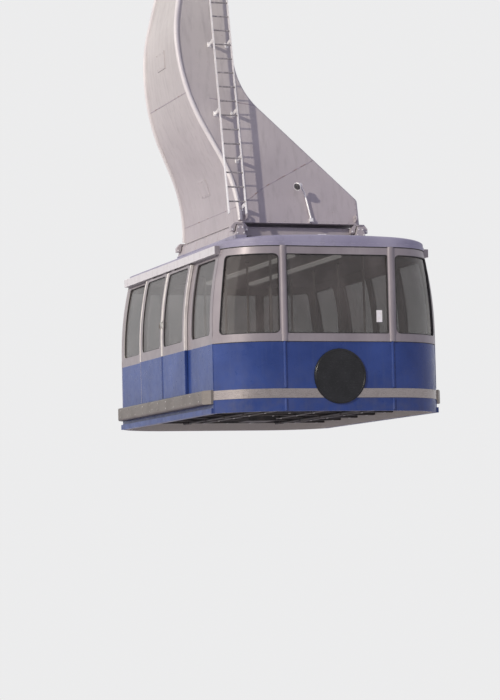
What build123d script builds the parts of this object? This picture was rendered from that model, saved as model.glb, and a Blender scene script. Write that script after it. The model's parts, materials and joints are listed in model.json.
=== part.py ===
"""Large reversible cable car: cabin, box hanger and sixteen-wheel carriage, in millimetres.

X runs across the vehicle, Y along the line with the front at -Y, Z up. The origin lies midway
between the two track ropes, level with their axes, in the middle of the carriage.
"""

import os
from math import acos, asin, atan, cos, hypot, radians, sin, sqrt

from build123d import *

os.makedirs("parts", exist_ok=True)

# Overall places
ROPE_DROP = 8750.0        # from the rope level down to the lower edge of the cabin's skirt
SKIRT = -ROPE_DROP        # every height over the skirt is measured from here
ROPE_GAUGE = 800.0        # between the two track ropes
ROPE_D = 50.0
CLEAR = 5.0               # running gap between pieces that move past each other
PIN_FIT = 0.06            # radial play of a pin in its bore
SEAT = 0.4                # gap under a runner that rests on its lip

# Cabin body
CABIN_W = 3800.0
SIDE_L = 5170.0           # straight part of the side, between the two bowed ends
END_DEPTH = 626.0         # how far an end bows out past the straight side
END_FLAT = 930.0          # half width of the flat middle of an end
WALL_T = 60.0
LEAN_START = 1300.0       # the sides stand upright up to here, then lean in on an arc
LEAN_R = 5150.0
SKIRT_Z = 0.0
FLOOR_Z = 360.0
FLOOR_T = 60.0
WAIST_Z = 1100.0          # top of the painted lower body
CEILING_Z = 2610.0

# Windows
GLASS_T = 12.0
GLASS_SET = 24.0          # how deep a pane sits behind the outer skin
END_SILL_RISE = 130.0     # from the waist up to the sill of an end window
END_HEAD_DROP = 130.0     # from the ceiling down to its head
SIDE_SILL_RISE = 150.0
SIDE_HEAD_DROP = 250.0
END_WINDOW_Z = (WAIST_Z + END_SILL_RISE, CEILING_Z - END_HEAD_DROP)
SIDE_WINDOW_Z = (WAIST_Z + SIDE_SILL_RISE, CEILING_Z - SIDE_HEAD_DROP)
WINDOW_R = 70.0
FRONT_WINDOW_HALF = 850.0
MULLION_W = 120.0         # bullnose post between the middle and the corner windows
MULLION_PROUD = 34.0
CORNER_WINDOW_GAP = 15.0  # from the mullion to the edge of the corner window
CORNER_POST_W = 150.0     # along the skin, from the corner window to the side
CORNER_LOOK = radians(38.0)   # plan direction that a corner window is cut along
SILL_H = 110.0            # proud band under the end windows
SILL_PROUD = 10.0
RIB_W = 64.0              # ribs of the painted end wall, in line with the mullions
RIB_PROUD = 20.0
RIB_GAP = 16.0            # from a rib to the bright stripe and to the skirt's edge

# Doors
DOOR_HALF = 1285.0        # each leaf runs from the middle of the side to here
DOOR_LAP = 50.0           # how far a leaf covers the jamb
DOOR_KERB = 40.0          # step from the floor up to the door sill
DOOR_HEAD_DROP = 180.0    # from the ceiling down to the door head
DOOR_SILL = FLOOR_Z + DOOR_KERB
DOOR_HEAD = CEILING_Z - DOOR_HEAD_DROP
LEAF_GAP = 8.0
LEAF_T = 40.0
LEAF_LAP = (15.0, 75.0)   # how far a leaf covers the sill and the head
LEAF_Z = (DOOR_SILL - LEAF_LAP[0], DOOR_HEAD + LEAF_LAP[1])
LEAF_STILE = (100.0, 130.0)   # meeting stile, rear stile
BAY_POSTS = (215.0, 130.0)    # from the leaf and from the end's joint to a fixed side window
BAY_WINDOW_Y = (DOOR_HALF + BAY_POSTS[0], SIDE_L / 2 - BAY_POSTS[1])

# Door track, which is also the gutter
TRACK_GAP = 25.0          # from the top of a leaf to the track
TRACK_H = 130.0
TRACK_Z = (LEAF_Z[1] + TRACK_GAP, LEAF_Z[1] + TRACK_GAP + TRACK_H)
TRACK_OUT = 78.0          # how far the track stands out from the skin at its foot
TRACK_WALL = 8.0
TRACK_SLOT = 14.0
TRACK_LIP = 12.0
RUNNER_L = 160.0
RUNNER_H = 46.0
RUNNER_INSET = 240.0      # from either edge of a leaf to a runner
RUNNER_PLACES = (RUNNER_INSET, DOOR_HALF - RUNNER_INSET)

# Roof
ROOF_RISE = 360.0         # from the ceiling to the crown
ROOF_CROWN = CEILING_Z + ROOF_RISE
ROOF_R = 11000.0
ROOF_EDGE_R = 90.0
CORNICE_H = 50.0          # proud lower edge of the roof over both ends
CORNICE_PROUD = 12.0
PLINTH_W = 200.0
PLINTH_RISE = 5.0
PLINTH_TOP = ROOF_CROWN + PLINTH_RISE
HATCH_SIZE = (760.0, 620.0)   # across and along the cabin
HATCH_Y = -2330.0         # middle of the hatch, in front of the suspension frame
HATCH_KERB = 24.0         # how far the kerb stands out beyond the lid, and how high
HATCH_RISE = 62.0         # top of the lid over the roof's crown
HATCH_R = 60.0

# Rub rails, stripes and end discs
RAIL_Z = (150.0, 370.0)
RAIL_OUT = 140.0
RAIL_R = 28.0
RAIL_END_CUT = (100.0, 170.0)   # slanting end of a rail: across, and along the cabin
STRIP_Z = (0.0, 85.0)           # proud lower edge of the side, under the rail
STRIP_OUT = 40.0
STRIPE_Z = (210.0, 355.0)
STRIPE_T = 8.0
DISC_R = 435.0
DISC_Z = 550.0
DISC_T = 26.0

# Underframe and poles
UNDER_BEAM_W = 90.0
UNDER_BEAM_H = 200.0
UNDER_LONG_X = (430.0, 1290.0)
UNDER_CROSS_COUNT = 7
UNDER_END_GAP = 65.0      # from the end's joint to the outermost cross beam
UNDER_CROSS_SPAN = SIDE_L - 2 * UNDER_END_GAP
POLE_R = 19.0
POLE_X = 800.0
POLE_COUNT = 5
POLE_PITCH = 1150.0

# Suspension frame on the roof
FRAME_X = 1050.0
FRAME_H = 165.0
FRAME_Z = (PLINTH_TOP, PLINTH_TOP + FRAME_H)
RAIL_FOOT_W = 170.0       # width of a lengthwise beam at its foot
RAIL_TOP_W = 90.0
LINER_T = 16.0
YOKE_T = 45.0             # wall of the yoke beside the liner
YOKE_TOP_T = 29.0         # and over it
YOKE_DEPTH = 95.0
YOKE_RISE = 65.0          # from the beam's foot up to the yoke's feet
YOKE_FOOT_Z = FRAME_Z[0] + YOKE_RISE
YOKE_INSET = 55.0         # from the hanger's front or rear face back to a yoke's middle
CROSS_W = 120.0
CROSS_STEP = 10.0         # from the top of the lengthwise beams down to the cross beams
CROSS_TOP = FRAME_Z[1] - CROSS_STEP
CROSS_INSET = 130.0       # from a yoke's middle back to a cross beam's
FRAME_PAST_YOKE = 110.0   # from a yoke's middle out to the end of a lengthwise beam

# Hanger, heights over the skirt
HANGER_HALF_DEPTH = 1545.0    # half its length along the line, at the reference height
YOKE_Y = HANGER_HALF_DEPTH - YOKE_INSET
CROSS_Y = YOKE_Y - CROSS_INSET
FRAME_HALF_L = YOKE_Y + FRAME_PAST_YOKE
HANGER_FOOT_Z = FRAME_Z[1] + LINER_T + YOKE_TOP_T
HANGER_REF_RISE = 15.0
HANGER_REF_Z = HANGER_FOOT_Z + HANGER_REF_RISE
HANGER_TAPER = 0.206      # how far each face leans in for each unit of height
HANGER_EDGE_R = 45.0
HANGER_LEFT = -1030.0
HANGER_RIGHT = 1060.0
LOW_ARC_R = 2600.0
LOW_ARC_SLOPE = 0.5
BELLY_R = 3460.0
BELLY_Z = 6300.0
BELLY_X = -1865.0
NECK_R = 2300.0
NECK_SLOPE = 0.2
NECK_TOP_Z = 9300.0
SHOULDER_Z = 3600.0
KNEE = (-500.0, 5120.0)
ARM_RIGHT = -885.0
KNEE_R = 1200.0
SHOULDER_R = 100.0
HEAD_R = 340.0
LUG_R = 58.0              # lifting lugs on the front and rear faces, near their lower corners
LUG_HOLE_R = 22.0
LUG_T = 24.0
LUG_OUT = 50.0            # from the face to the centre of a lug's hole
LUG_INSET = 85.0
LUG_RISE = 90.0

# Carriage, heights over the rope level
PIN_Z = 840.0
PIN_R = 90.0
PIN_CAP_R = 150.0
PIN_CAP_T = 30.0
HOUSING_RIGHT = 300.0
BEAM_HALF_W = 120.0
BEAM_Z = (700.0, 980.0)
HOUSING_R = PIN_Z - BEAM_Z[0]     # the pin's housing is flush with the beam's underside
BEAM_HALF_L = 1780.0
BEAM_CROWN_HALF = 1050.0
BEAM_TIP_Z = 780.0
ROCKER_Y = 1600.0
ROCKER_Z = 660.0
ROCKER_LUG_R = 130.0
ROCKER_PIN_R = 50.0
ROCKER_EYE_R = 110.0
ROCKER_IN = 155.0         # inner face of a rocker plate
ROCKER_T = 25.0
ROCKER_HOLE_R = 42.0      # lightening holes in the rocker's arms
BOGIE_ARM = 750.0         # from the rocker's pivot to a bogie's pivot
BOGIE_Z = 400.0
BOGIE_PIN_R = 45.0
BOGIE_EYE_R = 92.0
BOGIE_HALF_W = 130.0      # over the bosses
BOGIE_WEB_HALF_W = 65.0
BOGIE_HUB_R = 80.0
AXLE_ARM = 340.0          # from the bogie's pivot to an axle
AXLE_R = 35.0
AXLE_BOSS_R = 70.0
AXLE_END = 28.0           # of the axle beyond the wheels
TREAD_R = 200.0           # bottom of the rope groove
FLANGE_R = 235.0
WHEEL_W = 96.0
WHEEL_HUB_R = 75.0
RIM_R = 165.0
WEB_T = 26.0
GROOVE = ((31.0, FLANGE_R), (25.0, TREAD_R + 10.0), (10.0, TREAD_R))   # half width, radius
PIN_HEAD_T = 18.0
PIN_HEAD_LIP = 14.0
FLANGE_OUT = 25.0         # how far the main beam's flanges stand out from its webs
FLANGE_T = 22.0

# Haul rope drawbar
BAR_HALF_W = 50.0
BAR_Z = (-225.0, -135.0)
BAR_HALF_L = 3050.0
STRUT_HALF_L = 170.0
STRUT_HOLE_R = 75.0
STRUT_HOLE_Z = (190.0, 450.0)
GUSSET_L = 520.0
EYE_IN = 55.0             # from the bar's tip to the eye's centre
EYE_R = 20.0
EYE_SLOT = 44.0

# Ladder and lamp on the front face of the hanger
LADDER_X = (-1300.0, -1000.0)
LADDER_OUT = 200.0
LADDER_BAR = (10.0, 70.0)
LADDER_RISE = 145.0       # from the hanger's foot up to the ladder's
LADDER_Z = (HANGER_FOOT_Z + LADDER_RISE, 9150.0)
RUNG_PITCH = 250.0
RUNG_R = 13.0
BRACKET_H = 60.0
BRACKET_LOW_Z = (LADDER_Z[0] + BRACKET_H, 4200.0)   # on the stringer beside the hanger's edge alone
BRACKET_Z = (5000.0, 6200.0, 7400.0, 8600.0)
LAMP_X = (190.0, 120.0, 10.0)     # foot and top of the pole, back of the shade
LAMP_RISE = (45.0, 475.0, 600.0)  # the same three, over the hanger's foot
LAMP_OUT = 45.0
LAMP_POLE_R = 15.0
SHADE_OUT = 170.0         # from the hanger's face to the back of the shade
SHADE_R = (36.0, 66.0)    # back and mouth
SHADE_L = 120.0
SHADE_WALL = 7.0
SHADE_AIM = (-0.72, -0.5, 0.48)   # across, up the face, and out from it

FRONT, REAR = -1, 1
LEFT, RIGHT = -1, 1
END_NAMES = {FRONT: "front", REAR: "rear"}
SIDE_NAMES = {LEFT: "left", RIGHT: "right"}
JOINT_Y = SIDE_L / 2
NOSE_Y = JOINT_Y + END_DEPTH


def save(piece, name):
    """Label a finished piece and write it to its own file."""
    piece.part.label = name
    export_step(piece.part, f"parts/{name}.step")


def lean_x(z, offset=0.0):
    """Half width of the cabin at a height over the skirt, grown outwards by an offset."""
    rise = max(0.0, z - LEAN_START)
    return CABIN_W / 2 - LEAN_R + sqrt((LEAN_R + offset) ** 2 - rise ** 2)


def corner_arc(z):
    """Radius and sweep, in radians, of the plan arc that joins an end's flat to the side."""
    across = lean_x(z) - END_FLAT
    radius = (across ** 2 + END_DEPTH ** 2) / (2 * END_DEPTH)
    return radius, acos((radius - END_DEPTH) / radius)


def prism(points, plane, amount, mode=Mode.ADD):
    """Straight-sided outline on a plane, pushed along the plane's normal."""
    with BuildSketch(plane) as outline:
        with BuildLine():
            Polyline(*points, close=True)
        make_face()
    extrude(outline.sketch, amount=amount, mode=mode)


def block(x, y, z, mode=Mode.ADD):
    """Box between pairs of limits, with heights over the skirt."""
    with BuildSketch(Plane.XY.offset(SKIRT + z[0])) as outline:
        with Locations(((x[0] + x[1]) / 2, (y[0] + y[1]) / 2)):
            Rectangle(x[1] - x[0], y[1] - y[0])
    extrude(outline.sketch, amount=z[1] - z[0], mode=mode)


def rod(start, end, radius, mode=Mode.ADD):
    """Round bar between two points."""
    run = Vector(*end) - Vector(*start)
    with BuildSketch(Plane(origin=start, z_dir=run)) as outline:
        Circle(radius)
    extrude(outline.sketch, amount=run.length, mode=mode)


def body_plan(z, offset=0.0, level=None):
    """Whole plan of the cabin at a height over the skirt: two sides, two flats, four corner arcs."""
    half = lean_x(z, offset)
    nose = NOSE_Y + offset
    with BuildSketch(Plane.XY.offset(SKIRT + (z if level is None else level))) as plan:
        with BuildLine():
            for end in (FRONT, REAR):
                Line((-END_FLAT, end * nose), (END_FLAT, end * nose))
                for side in (LEFT, RIGHT):
                    TangentArc(
                        (side * END_FLAT, end * nose), (side * half, end * JOINT_Y), tangent=(side, 0)
                    )
            for side in (LEFT, RIGHT):
                Line((side * half, -JOINT_Y), (side * half, JOINT_Y))
        make_face()
    return plan.sketch


def end_plan(end, z, offset=0.0):
    """Plan of one bowed end, closed along the joint with the straight side."""
    half = lean_x(z, offset)
    nose = end * (NOSE_Y + offset)
    with BuildSketch(Plane.XY.offset(SKIRT + z)) as plan:
        with BuildLine():
            Line((-END_FLAT, nose), (END_FLAT, nose))
            for side in (LEFT, RIGHT):
                TangentArc((side * END_FLAT, nose), (side * half, end * JOINT_Y), tangent=(side, 0))
            Line((-half, end * JOINT_Y), (half, end * JOINT_Y))
        make_face()
    return plan.sketch


def end_block(end, z, offset, mode=Mode.ADD):
    """Solid of one bowed end between two heights: upright below the lean, lofted above it."""
    low, high = z
    if low < LEAN_START:
        foot = min(high, LEAN_START)
        extrude(end_plan(end, low, offset), amount=foot - low, dir=(0, 0, 1), mode=mode)
    if high > LEAN_START:
        foot = max(low, LEAN_START)
        levels = (foot, (foot + high) / 2, high)
        loft([end_plan(end, level, offset) for level in levels], mode=mode)


def corner_point(z, angle):
    """Plan point (x, y as positive distances) on the corner arc, at an angle from the flat."""
    radius = corner_arc(z)[0]
    return END_FLAT + radius * sin(angle), NOSE_Y - radius * (1 - cos(angle))


def corner_window(end, side, mode):
    """Rounded leaning window of one corner, cut along a direction square to the corner's middle."""
    out = Vector(side * sin(CORNER_LOOK), end * cos(CORNER_LOOK), 0)
    along = Vector(0, 0, 1).cross(out)
    inner_x = FRONT_WINDOW_HALF + MULLION_W + CORNER_WINDOW_GAP
    corners = []
    for z, outer_first in ((END_WINDOW_Z[0], False), (END_WINDOW_Z[1], True)):
        radius, sweep = corner_arc(z)
        inner = corner_point(z, asin((inner_x - END_FLAT) / radius))
        outer = corner_point(z, sweep - CORNER_POST_W / radius)
        for x, y in (outer, inner) if outer_first else (inner, outer):
            corners.append((along.dot(Vector(side * x, end * y, 0)), z))
    reach = NOSE_Y * cos(CORNER_LOOK)
    plane = Plane(origin=(0, 0, SKIRT), x_dir=along, z_dir=out)
    with BuildSketch(plane.offset(reach)) as outline:
        with BuildLine():
            Polyline(*corners, close=True)
        make_face()
        fillet(outline.vertices(), radius=WINDOW_R)
    extrude(outline.sketch, amount=NOSE_Y - reach + WALL_T + CABIN_W / 2, mode=mode)


def side_edge(side, z, offset):
    """Edge of the side's section between two heights: upright, then on the lean's arc."""
    low, high = z
    foot = max(low, LEAN_START)
    if low < LEAN_START:
        top = min(high, LEAN_START)
        Line((side * lean_x(low, offset), low), (side * lean_x(top, offset), top))
    if high > LEAN_START:
        middle = (foot + high) / 2
        ThreePointArc(*[(side * lean_x(level, offset), level) for level in (foot, middle, high)])


def side_panel(side, z, offsets, y, mode=Mode.ADD):
    """Piece of the side's skin between two heights, two offsets and two places along the cabin."""
    with BuildSketch(Plane(origin=(0, y[0], SKIRT), x_dir=(1, 0, 0), z_dir=(0, -1, 0))) as section:
        with BuildLine():
            for offset in offsets:
                side_edge(side, z, offset)
            for level in z:
                Line(*[(side * lean_x(level, offset), level) for offset in offsets])
        make_face()
    extrude(section.sketch, amount=y[1] - y[0], dir=(0, 1, 0), mode=mode)


def side_window(side, y, z, radius, mode):
    """Rounded window seen from the side, between two places along the cabin and two heights."""
    with BuildSketch(Plane.YZ) as outline:
        with Locations(((y[0] + y[1]) / 2, SKIRT + (z[0] + z[1]) / 2)):
            RectangleRounded(abs(y[1] - y[0]), z[1] - z[0], radius)
    extrude(outline.sketch, amount=CABIN_W, dir=(side, 0, 0), mode=mode)


def bullnose(end, z, width, proud):
    """Pair of upright bars with rounded fronts on an end's flat, in line with the mullions."""
    with BuildSketch(Plane.XY.offset(SKIRT + z[0])) as bars:
        for side in (LEFT, RIGHT):
            with Locations((side * (FRONT_WINDOW_HALF + MULLION_W / 2), end * (NOSE_Y - WALL_T / 2))):
                Ellipse(width / 2, WALL_T / 2 + proud)
    extrude(bars.sketch, amount=z[1] - z[0], dir=(0, 0, 1))


# Lower body and window frames of the two ends
for end, end_name in END_NAMES.items():
    with BuildPart() as end_wall:
        end_block(end, (SKIRT_Z, WAIST_Z), 0)
        bullnose(end, (SKIRT_Z + RIB_GAP, STRIPE_Z[0] - RIB_GAP), RIB_W, RIB_PROUD)
        bullnose(end, (STRIPE_Z[1] + RIB_GAP, WAIST_Z), RIB_W, RIB_PROUD)
        end_block(end, (SKIRT_Z, WAIST_Z), -WALL_T, Mode.SUBTRACT)
    save(end_wall, f"end_wall_{end_name}")

    with BuildPart() as end_frame:
        end_block(end, (WAIST_Z, CEILING_Z), 0)
        end_block(end, (WAIST_Z, WAIST_Z + SILL_H), SILL_PROUD)
        bullnose(end, (WAIST_Z, CEILING_Z), MULLION_W, MULLION_PROUD)
        end_block(end, (WAIST_Z, CEILING_Z), -WALL_T, Mode.SUBTRACT)
        reach = sorted((end * JOINT_Y, end * (NOSE_Y + 2 * WALL_T)))
        block((-FRONT_WINDOW_HALF, FRONT_WINDOW_HALF), reach, END_WINDOW_Z, Mode.SUBTRACT)
        for side in (LEFT, RIGHT):
            corner_window(end, side, Mode.SUBTRACT)
    save(end_frame, f"end_frame_{end_name}")

    panes = []
    for side in (LEFT, RIGHT):
        with BuildPart() as corner_pane:
            end_block(end, (WAIST_Z, CEILING_Z), -GLASS_SET)
            end_block(end, (WAIST_Z, CEILING_Z), -GLASS_SET - GLASS_T, Mode.SUBTRACT)
            corner_window(end, side, Mode.INTERSECT)
        panes.append(corner_pane.part)
    with BuildPart() as end_glass:
        pane_y = sorted(end * (NOSE_Y - depth) for depth in (GLASS_SET, GLASS_SET + GLASS_T))
        block((-FRONT_WINDOW_HALF, FRONT_WINDOW_HALF), pane_y, END_WINDOW_Z)
        add(panes)
    save(end_glass, f"end_glass_{end_name}")

# Sides with their fixed windows and door leaves
JAMB_Y = DOOR_HALF - DOOR_LAP
TRACK_FOOT_X = lean_x(TRACK_Z[0])
TRACK_LIP_X = TRACK_FOOT_X + TRACK_OUT
SLOT_X = TRACK_FOOT_X + TRACK_OUT / 2
RUNNER_FOOT = TRACK_Z[0] + TRACK_LIP + SEAT
for side, side_name in SIDE_NAMES.items():
    skin = (0, -WALL_T)
    with BuildPart() as side_wall:
        side_panel(side, (SKIRT_Z, DOOR_SILL), skin, (-JOINT_Y, JOINT_Y))
        side_panel(side, (DOOR_SILL, WAIST_Z), skin, (-JOINT_Y, -JAMB_Y))
        side_panel(side, (DOOR_SILL, WAIST_Z), skin, (JAMB_Y, JOINT_Y))
        side_panel(side, STRIP_Z, (STRIP_OUT, 0), (-JOINT_Y, JOINT_Y))
    save(side_wall, f"side_wall_{side_name}")

    with BuildPart() as side_frame:
        side_panel(side, (WAIST_Z, CEILING_Z), skin, (-JOINT_Y, JOINT_Y))
        side_panel(side, (WAIST_Z, DOOR_HEAD), (WALL_T, -2 * WALL_T), (-JAMB_Y, JAMB_Y), Mode.SUBTRACT)
        for end in (FRONT, REAR):
            bay = sorted(end * y for y in BAY_WINDOW_Y)
            side_window(side, bay, SIDE_WINDOW_Z, WINDOW_R, Mode.SUBTRACT)
    save(side_frame, f"side_frame_{side_name}")

    panes = []
    for end in (FRONT, REAR):
        with BuildPart() as bay_pane:
            bay = sorted(end * y for y in BAY_WINDOW_Y)
            side_panel(side, (WAIST_Z, CEILING_Z), (-GLASS_SET, -GLASS_SET - GLASS_T), bay)
            side_window(side, bay, SIDE_WINDOW_Z, WINDOW_R, Mode.INTERSECT)
        panes.append(bay_pane.part)
    with BuildPart() as side_glass:
        add(panes)
    save(side_glass, f"side_glass_{side_name}")

    for end, end_name in END_NAMES.items():
        leaf_y = sorted((end * CLEAR / 2, end * DOOR_HALF))
        glass_y = sorted((end * LEAF_STILE[0], end * (DOOR_HALF - LEAF_STILE[1])))
        leaf_skin = (LEAF_GAP, LEAF_GAP + LEAF_T)
        with BuildPart() as door_panel:
            side_panel(side, (LEAF_Z[0], WAIST_Z), leaf_skin, leaf_y)
        save(door_panel, f"door_panel_{side_name}_{end_name}")

        with BuildPart() as door_leaf:
            side_panel(side, (WAIST_Z, LEAF_Z[1]), leaf_skin, leaf_y)
            side_window(side, glass_y, SIDE_WINDOW_Z, WINDOW_R, Mode.SUBTRACT)
            for place in RUNNER_PLACES:
                runner_y = sorted((end * (place - RUNNER_L / 2), end * (place + RUNNER_L / 2)))
                for half, runner_z in (
                    (TRACK_SLOT / 2, (LEAF_Z[1] - LEAF_T / 2, RUNNER_FOOT + RUNNER_H / 2)),
                    (TRACK_OUT / 2 - TRACK_WALL - CLEAR, (RUNNER_FOOT, RUNNER_FOOT + RUNNER_H)),
                ):
                    runner_x = sorted(side * (SLOT_X + reach) for reach in (-half, half))
                    block(runner_x, runner_y, runner_z)
        save(door_leaf, f"door_leaf_{side_name}_{end_name}")

        with BuildPart() as door_glass:
            pane_depth = LEAF_GAP + (LEAF_T - GLASS_T) / 2
            side_panel(side, LEAF_Z, (pane_depth, pane_depth + GLASS_T), glass_y)
            side_window(side, glass_y, SIDE_WINDOW_Z, WINDOW_R, Mode.INTERSECT)
        save(door_glass, f"door_glass_{side_name}_{end_name}")

# Door tracks, each with a slot along its underside, and rub rails with slanting ends
with BuildPart() as door_tracks:
    for side in (LEFT, RIGHT):
        with BuildSketch(Plane(origin=(0, -JOINT_Y, SKIRT), x_dir=(1, 0, 0), z_dir=(0, -1, 0))) as section:
            with BuildLine():
                side_edge(side, (TRACK_Z[0], CEILING_Z), 0)
                Polyline(
                    (side * lean_x(CEILING_Z), CEILING_Z),
                    (side * lean_x(CEILING_Z), TRACK_Z[1]),
                    (side * TRACK_LIP_X, TRACK_Z[1]),
                    (side * TRACK_LIP_X, TRACK_Z[0]),
                    (side * TRACK_FOOT_X, TRACK_Z[0]),
                )
            make_face()
            cavity_x = (TRACK_FOOT_X + TRACK_WALL, TRACK_LIP_X - TRACK_WALL)
            cavity_z = (TRACK_Z[0] + TRACK_LIP, TRACK_Z[1] - TRACK_WALL)
            with Locations((side * sum(cavity_x) / 2, sum(cavity_z) / 2)):
                Rectangle(cavity_x[1] - cavity_x[0], cavity_z[1] - cavity_z[0], mode=Mode.SUBTRACT)
            with Locations((side * SLOT_X, TRACK_Z[0] + TRACK_LIP / 2)):
                Rectangle(TRACK_SLOT + 2 * CLEAR, TRACK_LIP, mode=Mode.SUBTRACT)
        extrude(section.sketch, amount=SIDE_L, dir=(0, 1, 0))
save(door_tracks, "door_tracks")

with BuildPart() as rub_rails:
    for side in (LEFT, RIGHT):
        inner_x = side * CABIN_W / 2
        outer_x = inner_x + side * RAIL_OUT
        cut_x, cut_y = RAIL_END_CUT
        prism(
            (
                (inner_x, -JOINT_Y),
                (outer_x - side * cut_x, -JOINT_Y),
                (outer_x, -JOINT_Y + cut_y),
                (outer_x, JOINT_Y - cut_y),
                (outer_x - side * cut_x, JOINT_Y),
                (inner_x, JOINT_Y),
            ),
            Plane.XY.offset(SKIRT + RAIL_Z[0]),
            RAIL_Z[1] - RAIL_Z[0],
        )
    faces_across = rub_rails.faces().sort_by(Axis.X)
    long_edges = (faces_across[0].edges() + faces_across[-1].edges()).filter_by(Axis.Y)
    fillet(long_edges, radius=RAIL_R)
save(rub_rails, "rub_rails")

# Bright stripes and blank discs on both ends
with BuildPart() as end_stripes:
    for end in (FRONT, REAR):
        end_block(end, STRIPE_Z, STRIPE_T)
        end_block(end, STRIPE_Z, 0, Mode.SUBTRACT)
        with BuildSketch(Plane.XZ) as gap:
            with Locations((0, SKIRT + DISC_Z)):
                Circle(DISC_R + SEAT)
        extrude(gap.sketch, amount=2 * NOSE_Y, dir=(0, end, 0), mode=Mode.SUBTRACT)
save(end_stripes, "end_stripes")

with BuildPart() as end_discs:
    for end in (FRONT, REAR):
        with BuildSketch(Plane(origin=(0, end * NOSE_Y, SKIRT + DISC_Z), z_dir=(0, end, 0))) as face:
            Circle(DISC_R)
        extrude(face.sketch, amount=DISC_T)
        rim = end_discs.faces().filter_by(Axis.Y).sort_by(Axis.Y)[0 if end == FRONT else -1]
        fillet(rim.edges(), radius=DISC_T / 3)
save(end_discs, "end_discs")

# Roof, floor, underframe and grab poles
with BuildPart() as roof:
    extrude(body_plan(CEILING_Z), amount=ROOF_CROWN - CEILING_Z, dir=(0, 0, 1))
    with BuildSketch(Plane.XZ) as barrel:
        with Locations((0, SKIRT + ROOF_CROWN - ROOF_R)):
            Circle(ROOF_R)
    extrude(barrel.sketch, amount=2 * NOSE_Y, both=True, mode=Mode.INTERSECT)
    crown = roof.faces().sort_by(Axis.Z)[-1]
    fillet(crown.edges(), radius=ROOF_EDGE_R)
    for end in (FRONT, REAR):
        extrude(end_plan(end, CEILING_Z, CORNICE_PROUD), amount=CORNICE_H, dir=(0, 0, 1))
    for side in (LEFT, RIGHT):
        plinth_x = sorted((side * (FRAME_X - PLINTH_W / 2), side * (FRAME_X + PLINTH_W / 2)))
        block(plinth_x, (-FRAME_HALF_L, FRAME_HALF_L), (ROOF_CROWN - WALL_T * 2, PLINTH_TOP))
    for grow, rise in ((HATCH_KERB, HATCH_KERB), (0, HATCH_RISE)):
        with BuildSketch(Plane.XY.offset(SKIRT + ROOF_CROWN - WALL_T / 2)) as hatch:
            with Locations((0, HATCH_Y)):
                RectangleRounded(*[size + 2 * grow for size in HATCH_SIZE], HATCH_R)
        extrude(hatch.sketch, amount=WALL_T / 2 + rise)
save(roof, "roof")

with BuildPart() as floor_deck:
    extrude(
        body_plan(FLOOR_Z, -WALL_T - SEAT, level=FLOOR_Z - FLOOR_T), amount=FLOOR_T, dir=(0, 0, 1)
    )
save(floor_deck, "floor_deck")

with BuildPart() as underframe:
    beam_z = (FLOOR_Z - FLOOR_T - UNDER_BEAM_H, FLOOR_Z - FLOOR_T)
    beam_half = UNDER_BEAM_W / 2
    span_half = UNDER_CROSS_SPAN / 2
    for side in (LEFT, RIGHT):
        for x in UNDER_LONG_X:
            block((side * x - beam_half, side * x + beam_half), (-span_half, span_half), beam_z)
    cross_pitch = (UNDER_CROSS_SPAN - UNDER_BEAM_W) / (UNDER_CROSS_COUNT - 1)
    for number in range(UNDER_CROSS_COUNT):
        y = -span_half + beam_half + number * cross_pitch
        wall_x = CABIN_W / 2 - WALL_T - SEAT
        block((-wall_x, wall_x), (y - beam_half, y + beam_half), beam_z)
save(underframe, "underframe")

with BuildPart() as grab_poles:
    for number in range(POLE_COUNT):
        y = (number - (POLE_COUNT - 1) / 2) * POLE_PITCH
        for side in (LEFT, RIGHT):
            rod((side * POLE_X, y, SKIRT + FLOOR_Z), (side * POLE_X, y, SKIRT + CEILING_Z), POLE_R)
save(grab_poles, "grab_poles")


def saddle(half_foot, half_top, foot_z, top_z):
    """Trapezium across one lengthwise roof beam, as points from its lower left corner."""
    return ((-half_foot, foot_z), (half_foot, foot_z), (half_top, top_z), (-half_top, top_z))


# Roof suspension frame, rubber liners and the hanger's yokes
rail_slope = (RAIL_FOOT_W - RAIL_TOP_W) / 2 / (FRAME_Z[1] - FRAME_Z[0])


def around_rail(grow, top_gap):
    """Trapezium that clears the lengthwise beam by a side gap and a top gap, open at the yoke's foot."""
    top_z = FRAME_Z[1] + top_gap
    half_foot = RAIL_FOOT_W / 2 - rail_slope * (YOKE_FOOT_Z - FRAME_Z[0]) + grow
    half_top = RAIL_TOP_W / 2 - rail_slope * top_gap + grow
    return saddle(half_foot, half_top, YOKE_FOOT_Z, top_z)


with BuildPart() as suspension_frame:
    for side in (LEFT, RIGHT):
        section = Plane(
            origin=(side * FRAME_X, FRAME_HALF_L, SKIRT), x_dir=(1, 0, 0), z_dir=(0, -1, 0)
        )
        prism(saddle(RAIL_FOOT_W / 2, RAIL_TOP_W / 2, *FRAME_Z), section, 2 * FRAME_HALF_L)
    for end in (FRONT, REAR):
        cross = (end * CROSS_Y - CROSS_W / 2, end * CROSS_Y + CROSS_W / 2)
        block((-FRAME_X, FRAME_X), cross, (FRAME_Z[0], CROSS_TOP))
save(suspension_frame, "suspension_frame")

YOKE_PLANES = [
    Plane(
        origin=(side * FRAME_X, end * YOKE_Y + YOKE_DEPTH / 2, SKIRT), x_dir=(1, 0, 0), z_dir=(0, -1, 0)
    )
    for side in (LEFT, RIGHT)
    for end in (FRONT, REAR)
]
with BuildPart() as foot_liners:
    for plane in YOKE_PLANES:
        prism(around_rail(LINER_T, LINER_T), plane, YOKE_DEPTH)
        prism(around_rail(0, 0), plane, YOKE_DEPTH, Mode.SUBTRACT)
save(foot_liners, "foot_liners")

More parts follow.
